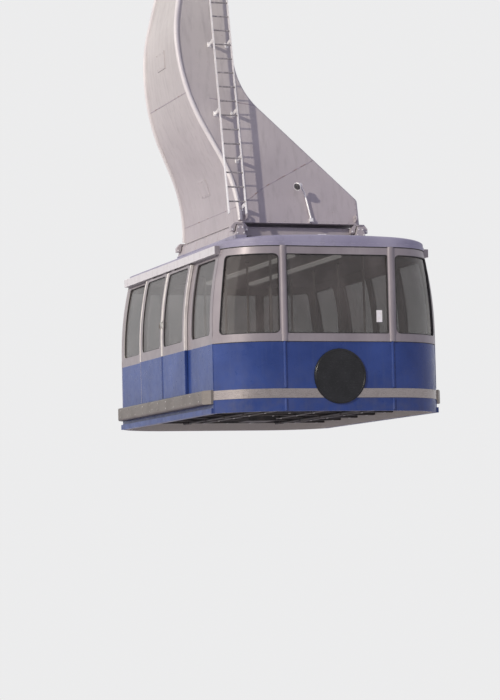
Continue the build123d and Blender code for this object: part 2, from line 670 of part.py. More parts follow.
with BuildPart() as hanger_feet:
    for plane in YOKE_PLANES:
        shoulder = RAIL_FOOT_W / 2 + LINER_T + YOKE_T
        prism(
            (
                (-shoulder, YOKE_FOOT_Z),
                (shoulder, YOKE_FOOT_Z),
                (shoulder, YOKE_FOOT_Z + (HANGER_FOOT_Z - YOKE_FOOT_Z) / 2),
                (RAIL_FOOT_W / 2, HANGER_FOOT_Z),
                (-RAIL_FOOT_W / 2, HANGER_FOOT_Z),
                (-shoulder, YOKE_FOOT_Z + (HANGER_FOOT_Z - YOKE_FOOT_Z) / 2),
            ),
            plane,
            YOKE_DEPTH,
        )
        prism(around_rail(LINER_T, LINER_T), plane, YOKE_DEPTH, Mode.SUBTRACT)
save(hanger_feet, "hanger_feet")

# Hanger: its outline across the line, cut to its taper along the line
HEAD_Z = ROPE_DROP + PIN_Z
belly_centre_x = BELLY_X + BELLY_R
low_angle = atan(LOW_ARC_SLOPE)
low_end = (
    HANGER_LEFT - LOW_ARC_R * (1 - cos(low_angle)),
    HANGER_REF_Z + LOW_ARC_R * sin(low_angle),
)
belly_start = (belly_centre_x - BELLY_R * cos(low_angle), BELLY_Z - BELLY_R * sin(low_angle))
belly_middle = (
    belly_centre_x - BELLY_R * cos(low_angle / 2),
    BELLY_Z - BELLY_R * sin(low_angle / 2),
)
neck_angle = atan(NECK_SLOPE)
neck_start = (
    BELLY_X + NECK_R * (1 - cos(neck_angle)),
    BELLY_Z + NECK_R * sin(neck_angle),
)
neck_end = (neck_start[0] + NECK_SLOPE * (NECK_TOP_Z - neck_start[1]), NECK_TOP_Z)


def hanger_depth(z):
    """Half depth of the hanger along the line, at a height over the skirt."""
    return HANGER_HALF_DEPTH - HANGER_TAPER * (z - HANGER_REF_Z)


with BuildPart() as hanger_arm:
    front_view = Plane(origin=(0, 0, SKIRT), x_dir=(1, 0, 0), z_dir=(0, -1, 0))
    with BuildSketch(front_view) as outline:
        with BuildLine():
            Line((HANGER_RIGHT, HANGER_FOOT_Z), (HANGER_LEFT, HANGER_FOOT_Z))
            Line((HANGER_LEFT, HANGER_FOOT_Z), (HANGER_LEFT, HANGER_REF_Z))
            TangentArc((HANGER_LEFT, HANGER_REF_Z), low_end, tangent=(0, 1))
            Line(low_end, belly_start)
            TangentArc(belly_start, (BELLY_X, BELLY_Z), tangent=(-LOW_ARC_SLOPE, 1))
            TangentArc((BELLY_X, BELLY_Z), neck_start, tangent=(0, 1))
            Line(neck_start, neck_end)
            Polyline(
                neck_end,
                (neck_end[0], HEAD_Z + HEAD_R),
                (ARM_RIGHT, HEAD_Z + HEAD_R),
                (ARM_RIGHT, HEAD_Z - HEAD_R),
            )
            FilletPolyline(
                (ARM_RIGHT, HEAD_Z - HEAD_R),
                (ARM_RIGHT, KNEE[1] + (KNEE[0] - ARM_RIGHT)),
                (HANGER_RIGHT, SHOULDER_Z),
                (HANGER_RIGHT, HANGER_FOOT_Z),
                radius=(KNEE_R, SHOULDER_R),
            )
        make_face()
    extrude(outline.sketch, amount=2 * HANGER_HALF_DEPTH, both=True)
    with BuildSketch(Plane.YZ.offset(BELLY_X - WALL_T)) as taper:
        with BuildLine():
            Polyline(
                (-hanger_depth(HANGER_FOOT_Z), SKIRT + HANGER_FOOT_Z),
                (hanger_depth(HANGER_FOOT_Z), SKIRT + HANGER_FOOT_Z),
                (hanger_depth(HEAD_Z), PIN_Z),
                (-hanger_depth(HEAD_Z), PIN_Z),
                close=True,
            )
        make_face()
        with Locations((0, PIN_Z)):
            Circle(HEAD_R)
    extrude(taper.sketch, amount=CABIN_W, mode=Mode.INTERSECT)
    tilted = hanger_arm.faces().filter_by(
        lambda face: abs(face.normal_at().Z) > 0.1 and abs(face.normal_at().X) < 0.01
    )
    long_edges = [
        edge
        for face in tilted.sort_by(SortBy.AREA)[-2:]
        for edge in face.edges()
        if edge.bounding_box().size.Z > HEAD_R
    ]
    fillet(long_edges, radius=HANGER_EDGE_R)
    lug_z = HANGER_FOOT_Z + LUG_RISE
    lug_face = hanger_depth(lug_z)
    for x in (HANGER_LEFT + LUG_INSET, HANGER_RIGHT - LUG_INSET):
        with BuildSketch(Plane.YZ.offset(x - LUG_T / 2)) as lugs:
            for end in (FRONT, REAR):
                with Locations((end * (lug_face + LUG_OUT / 2 - LUG_R), SKIRT + lug_z)):
                    Rectangle(LUG_OUT + 2 * LUG_R, 2 * LUG_R)
                with Locations((end * (lug_face + LUG_OUT), SKIRT + lug_z)):
                    Circle(LUG_R)
                    Circle(LUG_HOLE_R, mode=Mode.SUBTRACT)
        extrude(lugs.sketch, amount=LUG_T)
    rod((BELLY_X, 0, PIN_Z), (0, 0, PIN_Z), PIN_R + PIN_FIT, Mode.SUBTRACT)
save(hanger_arm, "hanger_arm")

# Ladder and lamp, both set off from the hanger's tilted front face
front_face = Plane(
    origin=(0, -HANGER_HALF_DEPTH, SKIRT + HANGER_REF_Z), x_dir=(1, 0, 0), z_dir=(0, -1, HANGER_TAPER)
)
slope_length = hypot(1, HANGER_TAPER)


def up_face(z):
    """Distance up the tilted face at a height over the skirt."""
    return (z - HANGER_REF_Z) * slope_length


def on_face(x, z, out):
    """Point at a distance out from the tilted front face."""
    return front_face.from_local_coords(Vector(x, up_face(z), out))


def face_block(x, z, out):
    """Box on the tilted face between pairs of limits."""
    with BuildSketch(front_face.offset(out[0])) as outline:
        with Locations(((x[0] + x[1]) / 2, (up_face(z[0]) + up_face(z[1])) / 2)):
            Rectangle(x[1] - x[0], up_face(z[1]) - up_face(z[0]))
    extrude(outline.sketch, amount=out[1] - out[0])


with BuildPart() as ladder:
    bar_t, bar_depth = LADDER_BAR
    for x in LADDER_X:
        face_block((x - bar_t / 2, x + bar_t / 2), LADDER_Z, (LADDER_OUT, LADDER_OUT + bar_depth))
save(ladder, "ladder")

with BuildPart() as ladder_rungs:
    rung_count = int((LADDER_Z[1] - LADDER_Z[0]) * slope_length / RUNG_PITCH)
    rung_x = (LADDER_X[0] + bar_t / 2, LADDER_X[1] - bar_t / 2)
    for number in range(rung_count):
        z = LADDER_Z[0] + (number + 0.5) * RUNG_PITCH / slope_length
        rod(*[on_face(x, z, LADDER_OUT + bar_depth / 2) for x in rung_x], RUNG_R)
save(ladder_rungs, "ladder_rungs")

with BuildPart() as ladder_brackets:
    places = [(LADDER_X[1], z) for z in BRACKET_LOW_Z]
    places += [(x, z) for z in BRACKET_Z for x in LADDER_X]
    for x, z in places:
        face_block((x - bar_t / 2, x + bar_t / 2), (z, z + BRACKET_H), (0, LADDER_OUT))
save(ladder_brackets, "ladder_brackets")

lamp_foot, lamp_top, shade_back = [
    on_face(x, HANGER_FOOT_Z + rise, out)
    for x, rise, out in zip(LAMP_X, LAMP_RISE, (LAMP_OUT, LAMP_OUT, SHADE_OUT))
]
shade_aim = (front_face.from_local_coords(Vector(*SHADE_AIM)) - front_face.origin).normalized()
with BuildPart() as roof_lamp:
    foot_half = LAMP_OUT - LAMP_POLE_R
    foot_z = HANGER_FOOT_Z + LAMP_RISE[0]
    face_block(
        (LAMP_X[0] - foot_half, LAMP_X[0] + foot_half),
        (foot_z - foot_half, foot_z + foot_half),
        (0, LAMP_OUT + LAMP_POLE_R),
    )
    rod(lamp_foot, lamp_top, LAMP_POLE_R)
    with Locations(lamp_top):
        Sphere(LAMP_POLE_R)
    rod(lamp_top, shade_back + shade_aim * SHADE_WALL, LAMP_POLE_R)
    for wall, mode in ((0, Mode.ADD), (SHADE_WALL, Mode.SUBTRACT)):
        rings = []
        for radius, along in zip(SHADE_R, (2 * wall, SHADE_L)):
            with BuildSketch(Plane(origin=shade_back + shade_aim * along, z_dir=shade_aim)) as ring:
                Circle(radius - wall)
            rings.append(ring.sketch)
        loft(rings, mode=mode)
save(roof_lamp, "roof_lamp")

# Carriage: main beam with the housing of the hanger's pin
with BuildPart() as main_beam:
    with BuildSketch(Plane.YZ.offset(-BEAM_HALF_W)) as outline:
        with BuildLine():
            Polyline(
                (-BEAM_HALF_L, BEAM_Z[0]),
                (BEAM_HALF_L, BEAM_Z[0]),
                (BEAM_HALF_L, BEAM_TIP_Z),
                (BEAM_CROWN_HALF, BEAM_Z[1]),
                (-BEAM_CROWN_HALF, BEAM_Z[1]),
                (-BEAM_HALF_L, BEAM_TIP_Z),
                close=True,
            )
        make_face()
        for end in (FRONT, REAR):
            with Locations((end * ROCKER_Y, ROCKER_Z)):
                Circle(ROCKER_LUG_R)
    extrude(outline.sketch, amount=2 * BEAM_HALF_W)
    flange_x = BEAM_HALF_W + FLANGE_OUT
    top_edge = (
        (-BEAM_HALF_L, BEAM_TIP_Z),
        (-BEAM_CROWN_HALF, BEAM_Z[1]),
        (BEAM_CROWN_HALF, BEAM_Z[1]),
        (BEAM_HALF_L, BEAM_TIP_Z),
    )
    low_edge = ((-BEAM_HALF_L, BEAM_Z[0] + FLANGE_T), (BEAM_HALF_L, BEAM_Z[0] + FLANGE_T))
    for edge in (top_edge, low_edge):
        underside = tuple((y, z - FLANGE_T) for y, z in reversed(edge))
        prism(edge + underside, Plane.YZ.offset(-flange_x), 2 * flange_x)
    rod((ARM_RIGHT + CLEAR, 0, PIN_Z), (HOUSING_RIGHT, 0, PIN_Z), HOUSING_R)
    rod((ARM_RIGHT, 0, PIN_Z), (HOUSING_RIGHT + CLEAR, 0, PIN_Z), PIN_R + PIN_FIT, Mode.SUBTRACT)
    for end in (FRONT, REAR):
        bore_ends = [(x, end * ROCKER_Y, ROCKER_Z) for x in (-flange_x, flange_x)]
        rod(*bore_ends, ROCKER_PIN_R + PIN_FIT, Mode.SUBTRACT)
save(main_beam, "main_beam")

with BuildPart() as main_pin:
    pin_left = neck_end[0] - CLEAR
    rod((pin_left, 0, PIN_Z), (HOUSING_RIGHT, 0, PIN_Z), PIN_R)
    rod((pin_left - PIN_CAP_T, 0, PIN_Z), (pin_left, 0, PIN_Z), PIN_CAP_R)
    rod((HOUSING_RIGHT, 0, PIN_Z), (HOUSING_RIGHT + PIN_CAP_T, 0, PIN_Z), PIN_CAP_R)
save(main_pin, "main_pin")


def hull_plate(circles, x, mode=Mode.ADD):
    """Plate between two x limits, whose outline wraps a few circles given as (y, z, radius)."""
    with BuildSketch(Plane.YZ.offset(x[0])) as outline:
        with BuildLine():
            for y, z, radius in circles:
                CenterArc((y, z), radius, 0, 360)
        make_hull()
    extrude(outline.sketch, amount=x[1] - x[0], mode=mode)


ROCKER_OUT = ROCKER_IN + ROCKER_T
for end, end_name in END_NAMES.items():
    top_eye = (end * ROCKER_Y, ROCKER_Z, ROCKER_EYE_R)
    pivots = [(end * ROCKER_Y, ROCKER_Z, ROCKER_PIN_R)]
    with BuildPart() as rocker:
        for arm in (-BOGIE_ARM, BOGIE_ARM):
            pivots.append((end * ROCKER_Y + arm, BOGIE_Z, BOGIE_PIN_R))
            for low in (-ROCKER_OUT, ROCKER_IN):
                low_eye = (end * ROCKER_Y + arm, BOGIE_Z, BOGIE_EYE_R)
                hull_plate((top_eye, low_eye), (low, low + ROCKER_T))
            hole = (end * ROCKER_Y + arm / 2, (ROCKER_Z + BOGIE_Z) / 2)
            rod((-ROCKER_OUT, *hole), (ROCKER_OUT, *hole), ROCKER_HOLE_R, Mode.SUBTRACT)
        for y, z, radius in pivots:
            rod((-ROCKER_OUT, y, z), (ROCKER_OUT, y, z), radius + PIN_FIT, Mode.SUBTRACT)
    save(rocker, f"rocker_{end_name}")

    with BuildPart() as rocker_pins:
        for y, z, radius in pivots:
            rod((-ROCKER_OUT, y, z), (ROCKER_OUT, y, z), radius)
            for x in (-ROCKER_OUT - PIN_HEAD_T, ROCKER_OUT):
                rod((x, y, z), (x + PIN_HEAD_T, y, z), radius + PIN_HEAD_LIP)
    save(rocker_pins, f"rocker_pins_{end_name}")

bogie_places = [end * ROCKER_Y + arm for end in (FRONT, REAR) for arm in (-BOGIE_ARM, BOGIE_ARM)]
AXLE_Z = TREAD_R + ROPE_D / 2
for number, place in enumerate(bogie_places, start=1):
    with BuildPart() as bogie:
        for arm in (-AXLE_ARM, AXLE_ARM):
            hull_plate(
                ((place, BOGIE_Z, BOGIE_HUB_R), (place + arm, AXLE_Z, AXLE_BOSS_R)),
                (-BOGIE_WEB_HALF_W, BOGIE_WEB_HALF_W),
            )
        bosses = (
            (place, BOGIE_Z, BOGIE_HUB_R, BOGIE_PIN_R),
            (place - AXLE_ARM, AXLE_Z, AXLE_BOSS_R, AXLE_R),
            (place + AXLE_ARM, AXLE_Z, AXLE_BOSS_R, AXLE_R),
        )
        for y, z, boss, bore in bosses:
            rod((-BOGIE_HALF_W, y, z), (BOGIE_HALF_W, y, z), boss)
            rod((-BOGIE_HALF_W, y, z), (BOGIE_HALF_W, y, z), bore + PIN_FIT, Mode.SUBTRACT)
    save(bogie, f"bogie_{number}")

axle_places = [place + arm for place in bogie_places for arm in (-AXLE_ARM, AXLE_ARM)]
groove_outline = GROOVE + tuple((-width, radius) for width, radius in reversed(GROOVE))
for number, place in enumerate(axle_places, start=1):
    with BuildPart() as wheelset:
        axle_half = ROPE_GAUGE / 2 + WHEEL_W / 2 + AXLE_END
        with BuildSketch(Plane(origin=(0, place, AXLE_Z), x_dir=(1, 0, 0), z_dir=(0, -1, 0))) as half:
            with Locations((0, AXLE_R / 2)):
                Rectangle(2 * axle_half, AXLE_R)
            for x in (-ROPE_GAUGE / 2, ROPE_GAUGE / 2):
                with Locations((x, WHEEL_HUB_R / 2)):
                    Rectangle(WHEEL_W, WHEEL_HUB_R)
                with Locations((x, RIM_R / 2)):
                    Rectangle(WEB_T, RIM_R)
                with Locations((x, (RIM_R + FLANGE_R) / 2)):
                    Rectangle(WHEEL_W, FLANGE_R - RIM_R)
                with BuildLine():
                    Polyline(*[(x + across, radius) for across, radius in groove_outline], close=True)
                make_face(mode=Mode.SUBTRACT)
        revolve(half.sketch, axis=Axis((0, place, AXLE_Z), (1, 0, 0)))
    save(wheelset, f"wheelset_{number}")

# Drawbar that takes the haul ropes at both ends of the carriage
with BuildPart() as drawbar:
    with BuildSketch(Plane.YZ.offset(-BAR_HALF_W)) as outline:
        with BuildLine():
            Polyline(
                (-BAR_HALF_L, BAR_Z[0]),
                (BAR_HALF_L, BAR_Z[0]),
                (BAR_HALF_L, BAR_Z[1]),
                (-BAR_HALF_L, BAR_Z[1]),
                close=True,
            )
        make_face()
    extrude(outline.sketch, amount=2 * BAR_HALF_W)
    bar_middle = (BAR_Z[0] + BAR_Z[1]) / 2
    for end in (FRONT, REAR):
        eye_y = end * (BAR_HALF_L - EYE_IN)
        rod((-BAR_HALF_W, eye_y, bar_middle), (BAR_HALF_W, eye_y, bar_middle), EYE_R, Mode.SUBTRACT)
        with BuildSketch(Plane.XY.offset(BAR_Z[0])) as slot:
            with Locations((0, end * (BAR_HALF_L - EYE_IN))):
                Rectangle(EYE_SLOT, 2 * EYE_IN)
        extrude(slot.sketch, amount=BAR_Z[1] - BAR_Z[0], mode=Mode.SUBTRACT)
save(drawbar, "drawbar")

with BuildPart() as drawbar_strut:
    prism(
        (
            (-GUSSET_L, BAR_Z[1]),
            (GUSSET_L, BAR_Z[1]),
            (STRUT_HALF_L, 0),
            (STRUT_HALF_L, BEAM_Z[0]),
            (-STRUT_HALF_L, BEAM_Z[0]),
            (-STRUT_HALF_L, 0),
        ),
        Plane.YZ.offset(-BAR_HALF_W),
        2 * BAR_HALF_W,
    )
    for z in STRUT_HOLE_Z:
        rod((-BAR_HALF_W, 0, z), (BAR_HALF_W, 0, z), STRUT_HOLE_R, Mode.SUBTRACT)
save(drawbar_strut, "drawbar_strut")
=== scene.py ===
"""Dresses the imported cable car: paints, glass and metals, seals, fasteners and fittings, light and camera.

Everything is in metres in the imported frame. Heights written as z are over the cabin's skirt.
"""

import json
from math import acos, asin, ceil, cos, hypot, pi, radians, sin, sqrt, tan

import bmesh
import bpy
from mathutils import Matrix, Vector

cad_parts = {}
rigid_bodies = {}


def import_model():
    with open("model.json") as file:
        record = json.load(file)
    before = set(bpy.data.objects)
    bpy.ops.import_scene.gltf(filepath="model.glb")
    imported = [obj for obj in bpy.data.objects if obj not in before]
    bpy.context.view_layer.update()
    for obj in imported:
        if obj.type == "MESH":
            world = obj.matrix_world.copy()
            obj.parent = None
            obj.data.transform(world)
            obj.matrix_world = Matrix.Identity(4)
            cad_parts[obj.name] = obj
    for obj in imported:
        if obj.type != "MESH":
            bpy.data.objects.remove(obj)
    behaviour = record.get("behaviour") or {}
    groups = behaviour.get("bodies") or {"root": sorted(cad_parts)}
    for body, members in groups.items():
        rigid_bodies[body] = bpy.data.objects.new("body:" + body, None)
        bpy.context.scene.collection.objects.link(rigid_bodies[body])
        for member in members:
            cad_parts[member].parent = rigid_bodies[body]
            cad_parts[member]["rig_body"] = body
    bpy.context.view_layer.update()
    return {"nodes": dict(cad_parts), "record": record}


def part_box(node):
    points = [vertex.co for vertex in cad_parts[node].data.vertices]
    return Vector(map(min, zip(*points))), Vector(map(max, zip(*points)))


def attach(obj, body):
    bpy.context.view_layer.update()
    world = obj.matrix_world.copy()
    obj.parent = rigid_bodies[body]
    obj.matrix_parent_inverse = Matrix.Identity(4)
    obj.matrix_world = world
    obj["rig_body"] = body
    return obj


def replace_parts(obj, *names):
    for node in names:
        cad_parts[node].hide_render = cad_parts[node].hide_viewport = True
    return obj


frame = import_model()
scene = bpy.context.scene
nodes = frame["nodes"]

# Directions
LEFT, RIGHT, FRONT, REAR = -1, 1, -1, 1
SIDES = {LEFT: "left", RIGHT: "right"}
ENDS = {FRONT: "front", REAR: "rear"}
ACROSS, ALONG, UP = Vector((1, 0, 0)), Vector((0, 1, 0)), Vector((0, 0, 1))

# Cabin sizes, as in the source
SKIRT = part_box("side_wall_left")[0].z
JOINT_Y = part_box("side_wall_left")[1].y
HALF_W = 1.9
LEAN_START, LEAN_R = 1.3, 5.15
END_DEPTH = 0.626
NOSE_Y = JOINT_Y + END_DEPTH
END_FLAT = 0.93
CORNER_LOOK = radians(38.0)
FLOOR_Z, WAIST_Z, CEILING_Z, CORNICE_TOP = 0.36, 1.10, 2.61, 2.66
STRIPE_Z = (0.21, 0.355)
END_WINDOW_Z = (1.23, 2.48)
WINDOW_R, GLASS_T = 0.07, 0.012
FRONT_HALF = 0.85
CORNER_INNER_X, CORNER_POST = 0.985, 0.15
BAY_Y = (1.50, 2.455)
DOOR_HALF, DOOR_GLASS_Y = 1.285, (0.10, 1.155)
LEAF_OUT, LEAF_Z = 0.048, (0.385, 2.505)
TRACK_Z, TRACK_OUT = (2.53, 2.66), 0.078
RAIL_X = HALF_W + 0.14
ROOF_R, ROOF_TOP, HATCH_TOP = 11.0, 2.97, 3.032
HATCH_Y, HATCH_HALF = -2.33, (0.38, 0.31)
POLE_X, POLE_Y = 0.8, 2.3

# Heights that the photograph corrects
SIDE_WINDOW_Z = (1.25, 2.47)    # the source's heads are at 2.36
ROOF_FLATTEN = 0.45             # share of the source's rise above the cornice that is kept

# Suspension and carriage sizes, as in the source
FRAME_X, FRAME_FOOT, FRAME_TOP = 1.05, 2.975, 3.14
YOKE_Y = 1.49
FACE_Y, FACE_Z, TAPER = 1.545, 3.20, 0.206
LADDER_X, LADDER_OUT = (-1.30, -1.00), 0.235
PIN_Z = 0.84
ROCKER_Y, ROCKER_Z, ROCKER_X = 1.6, 0.66, 0.180
BOGIE_ARM, BOGIE_Z = 0.75, 0.40
AXLE_ARM, AXLE_Z = 0.34, 0.225
WHEEL_X = 0.4
BEAM_HALF, BEAM_Z = 0.1325, (0.700, 0.980)
BAR_X, BAR_Z, BAR_EYE_Y = 0.050, -0.18, 2.995
HANGER_BODY = nodes["hanger_arm"]["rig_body"]

# Mesh edges sharper than this stay sharp, and points closer than this are joined
SHARP_ANGLE, WELD_DISTANCE = 32.0, 1e-5


# Node graphs
class Graph:
    """Nodes of one tree, added with their settings and links."""

    def __init__(self, tree):
        self.tree = tree
        tree.nodes.clear()

    def add(self, kind, sets=(), **inputs):
        """A node with its settings, whose inputs are linked or set; an input i3 is the fourth one."""
        node = self.tree.nodes.new("ShaderNode" + kind)
        for name, value in dict(sets).items():
            setattr(node, name, value)
        for name, value in inputs.items():
            numbered = name[0] == "i" and name[1:].isdigit()
            socket = node.inputs[int(name[1:]) if numbered else name.replace("_", " ")]
            if isinstance(value, bpy.types.NodeSocket):
                self.tree.links.new(value, socket)
            else:
                socket.default_value = value
        return node

    def math(self, operation, first, second=0.0):
        return self.add("Math", {"operation": operation}, i0=first, i1=second).outputs[0]


class Look(Graph):
    """One procedural material, built socket by socket."""

    def __init__(self, name):
        self.material = bpy.data.materials.new(name)
        self.material.use_nodes = True
        super().__init__(self.material.node_tree)
        self.place = self.add("TexCoord").outputs["Object"]
        self.geometry = self.add("NewGeometry")

    def noise(self, scale, detail=3.0, stretch=None, rough=0.55):
        where = self.add("Mapping", Vector=self.place, Scale=stretch).outputs[0] if stretch else self.place
        return self.add("TexNoise", Vector=where, Scale=scale, Detail=detail, Roughness=rough).outputs[0]

    def cells(self, scale, outlet="Color"):
        return self.add("TexVoronoi", Vector=self.place, Scale=scale).outputs[outlet]

    def span(self, value, low, high, out_low=0.0, out_high=1.0):
        """Value from one range to another, held at both ends."""
        return self.add("MapRange", i0=value, i1=low, i2=high, i3=out_low, i4=out_high).outputs[0]

    def patches(self, scale, detail, low, high, stretch=None, rough=0.55):
        """One where noise is over the high level and nothing under the low one."""
        return self.span(self.noise(scale, detail, stretch, rough), low, high)

    def mix(self, factor, first, second):
        """Colour mix; plain triples become colours."""
        colors = [(*value, 1.0) if isinstance(value, tuple) else value for value in (first, second)]
        return self.add("Mix", {"data_type": "RGBA"}, i0=factor, i6=colors[0], i7=colors[1]).outputs[2]

    def tint(self, color, mask, share, other):
        """Colour with a share of another one where the mask is one."""
        return self.mix(self.math("MULTIPLY", mask, share), color, other)

    def axis(self, name, source=None):
        return self.add("SeparateXYZ", i0=source or self.place).outputs[name]

    def bump(self, height, distance, strength=1.0, normal=None):
        inputs = {"Height": height, "Distance": distance, "Strength": strength}
        if normal:
            inputs["Normal"] = normal
        return self.add("Bump", **inputs).outputs[0]

    def grain(self, scale, detail, distance, strength, normal=None):
        """Bump of plain noise."""
        return self.bump(self.noise(scale, detail), distance, strength, normal)

    def facing(self, first, second):
        dot = self.add("VectorMath", {"operation": "DOT_PRODUCT"}, i0=first, i1=second)
        return dot.outputs["Value"]

    def wear(self, radius=0.012, low=0.02, high=0.3):
        """One along worn outer edges, broken up by noise."""
        soft = self.add("Bevel", {"samples": 4}, Radius=radius).outputs[0]
        bent = self.math("SUBTRACT", 1.0, self.facing(soft, self.geometry.outputs["Normal"]))
        return self.math("MULTIPLY", self.span(bent, low, high), self.patches(14.0, 5.0, 0.45, 0.62))

    def inside(self):
        """One on faces that look towards the cabin's middle line."""
        flat = self.add("CombineXYZ", X=self.axis("X"), Y=self.axis("Y")).outputs[0]
        normal = self.add("TexCoord").outputs["Normal"]
        return self.math("LESS_THAN", self.facing(normal, flat), -0.05)

    def height(self, low, high):
        """One at a low height over the skirt, falling to nothing at a high one."""
        return self.span(self.axis("Z"), SKIRT + low, SKIRT + high, 1.0, 0.0)

    def done(self, color, roughness, metallic, normal, **same):
        """Closes the graph with a Principled shader; same holds numbers equal all over the surface."""
        inputs = {"Base_Color": color, "Roughness": roughness, "Metallic": metallic, "Normal": normal}
        shader = self.add("BsdfPrincipled", **inputs, **same)
        self.add("OutputMaterial", Surface=shader.outputs[0])
        return self.material


def lining(look, outside, roughness):
    """Outer finish outside and pale laminate inside the cabin."""
    inner = look.inside()
    laminate = look.mix(look.patches(90.0, 2.0, 0.3, 0.7), (0.58, 0.55, 0.52), (0.66, 0.63, 0.59))
    satin = look.math("MULTIPLY", inner, 0.55)
    return look.mix(inner, outside, laminate), look.math("MAXIMUM", roughness, satin)


def paint_blue():
    """Gloss blue paint, a little faded in clouds, with streaks, road film low down and chipped edges."""
    look = Look("blue_paint")
    color = look.mix(look.patches(1.6, 4.0, 0.3, 0.7), (0.016, 0.040, 0.165), (0.032, 0.066, 0.235))
    streak = look.patches(3.0, 5.0, 0.52, 0.75, (6.0, 6.0, 0.35))
    color = look.tint(color, streak, 0.35, (0.045, 0.075, 0.20))
    film = look.math("MULTIPLY", look.height(0.0, 0.85), look.patches(7.0, 6.0, 0.35, 0.75))
    color = look.tint(color, film, 0.55, (0.075, 0.085, 0.14))
    color = look.tint(color, look.wear(0.010), 0.7, (0.16, 0.20, 0.32))
    rough = look.span(look.noise(9.0, 5.0), 0.3, 0.75, 0.24, 0.40)
    rough = look.math("ADD", rough, look.math("MULTIPLY", film, 0.2))
    color, rough = lining(look, color, rough)
    dent = look.grain(1.1, 2.0, 0.006, 0.25, look.grain(160.0, 2.0, 0.0004, 0.35))
    return look.done(
        color, rough, 0.0, dent, Specular_IOR_Level=0.22, Coat_Weight=0.12, Coat_Roughness=0.08
    )


def paint_silver():
    """Silver metallic paint with a faint lilac cast as painted shade, with streaks, dark specks and worn
    edges.
    """
    look = Look("silver_paint")
    # The lilac cast in these colours is painted shade
    color = look.mix(look.patches(1.3, 4.0, 0.3, 0.7), (0.235, 0.210, 0.224), (0.322, 0.292, 0.302))
    color = look.tint(color, look.patches(4.0, 5.0, 0.5, 0.78, (5.0, 5.0, 0.3)), 0.4, (0.22, 0.195, 0.21))
    color = look.tint(color, look.patches(55.0, 3.0, 0.62, 0.72), 0.25, (0.17, 0.15, 0.155))
    color = look.tint(color, look.wear(0.008), 0.6, (0.60, 0.58, 0.57))
    metal = look.span(look.inside(), 0.0, 1.0, 0.28, 0.0)
    rough = look.span(look.noise(8.0, 5.0), 0.3, 0.75, 0.30, 0.46)
    color, rough = lining(look, color, rough)
    flake = look.grain(300.0, 2.0, 0.0003, 0.3)
    return look.done(
        color, rough, metal, flake, Specular_IOR_Level=0.35, Coat_Weight=0.1, Coat_Roughness=0.15
    )


def glass_with_painted_reflection():
    """Window glass, see-through by its alpha, whose dark brown colour is a painted reflection of a brown
    building, with a thin film of dust.
    """
    look = Look("glass_painted_brown_reflection")
    dust = look.patches(2.2, 6.0, 0.45, 0.85, (1.0, 1.0, 0.7))
    # Dark brown: painted reflection of a brown building; the lighter colour is dust
    color = look.mix(dust, (0.034, 0.024, 0.021), (0.115, 0.095, 0.088))
    rough = look.span(dust, 0.0, 1.0, 0.015, 0.07)
    alpha = look.span(dust, 0.0, 1.0, 0.50, 0.62)
    wave = look.grain(1.4, 2.0, 0.004, 0.12)
    coat = {"Specular_IOR_Level": 0.7, "Coat_Weight": 0.4, "Coat_Roughness": 0.015}
    return look.done(color, rough, 0.0, wave, Alpha=alpha, IOR=1.52, **coat)


def lamp_glass():
    """Plain lamp glass."""
    look = Look("lamp_glass")
    dust = look.patches(40.0, 5.0, 0.4, 0.8)
    color = look.mix(dust, (0.060, 0.060, 0.062), (0.14, 0.13, 0.12))
    rough = look.span(dust, 0.0, 1.0, 0.05, 0.25)
    return look.done(color, rough, 0.0, look.grain(260.0, 2.0, 0.0006, 0.5), Alpha=0.85)


def cream_pole():
    """Cream powder coat, polished by hands at their height."""
    look = Look("cream_pole")
    worn = look.math("MULTIPLY", look.height(1.0, 2.3), look.patches(12.0, 5.0, 0.40, 0.62))
    color = look.mix(worn, (0.80, 0.77, 0.68), (0.66, 0.63, 0.57))
    return look.done(color, look.span(worn, 0.0, 1.0, 0.34, 0.16), 0.0, look.grain(180.0, 2.0, 0.0004, 0.35))


def dark_rung():
    """Old zinc rungs, darker and duller than the rails."""
    look = Look("dark_rung")
    worn = look.patches(24.0, 5.0, 0.42, 0.64)
    color = look.mix(worn, (0.24, 0.225, 0.225), (0.42, 0.40, 0.40))
    return look.done(color, look.span(worn, 0.0, 1.0, 0.60, 0.36), 0.4, look.grain(160.0, 3.0, 0.0006, 0.5))


def painted_highlight_edge():
    """The hanger's paint made lighter along its rounded edges as a painted highlight, with rust specks."""
    look = Look("painted_highlight_edge")
    cloud = look.patches(1.4, 5.0, 0.33, 0.68)
    # Paler than the hanger's paint: painted highlight on the rounded edge
    color = look.mix(cloud, (0.62, 0.59, 0.58), (0.76, 0.73, 0.70))
    color = look.tint(color, look.patches(30.0, 7.0, 0.63, 0.70, None, 0.7), 0.7, (0.24, 0.16, 0.12))
    return look.done(color, look.span(cloud, 0.0, 1.0, 0.34, 0.50), 0.0, look.grain(70.0, 3.0, 0.0008, 0.35))


def trim_with_painted_sunlight():
    """Anodised edge profile, brighter than the painted posts partly by its own finish and partly as painted
    sunlight, with dull patches.
    """
    look = Look("trim_with_painted_sunlight")
    brushed = look.noise(14.0, 5.0, (20.0, 20.0, 0.6), 0.65)
    # Brighter cream than the posts: partly the profile's own finish, partly painted sunlight
    color = look.mix(look.span(brushed, 0.3, 0.7), (0.70, 0.67, 0.62), (0.84, 0.81, 0.76))
    color = look.tint(color, look.patches(5.0, 6.0, 0.5, 0.7), 0.4, (0.38, 0.355, 0.34))
    rough = look.span(brushed, 0.25, 0.75, 0.26, 0.44)
    return look.done(color, rough, 0.25, look.bump(brushed, 0.0005, 0.4))


def white_card():
    """White card, yellowed in its worn patches."""
    look = Look("white_card")
    tone = look.patches(18.0, 5.0, 0.4, 0.7)
    color = look.mix(tone, (0.86, 0.86, 0.85), (0.76, 0.74, 0.68))
    return look.done(color, look.span(tone, 0.0, 1.0, 0.5, 0.62), 0.0, look.grain(90.0, 3.0, 0.0004, 0.3))


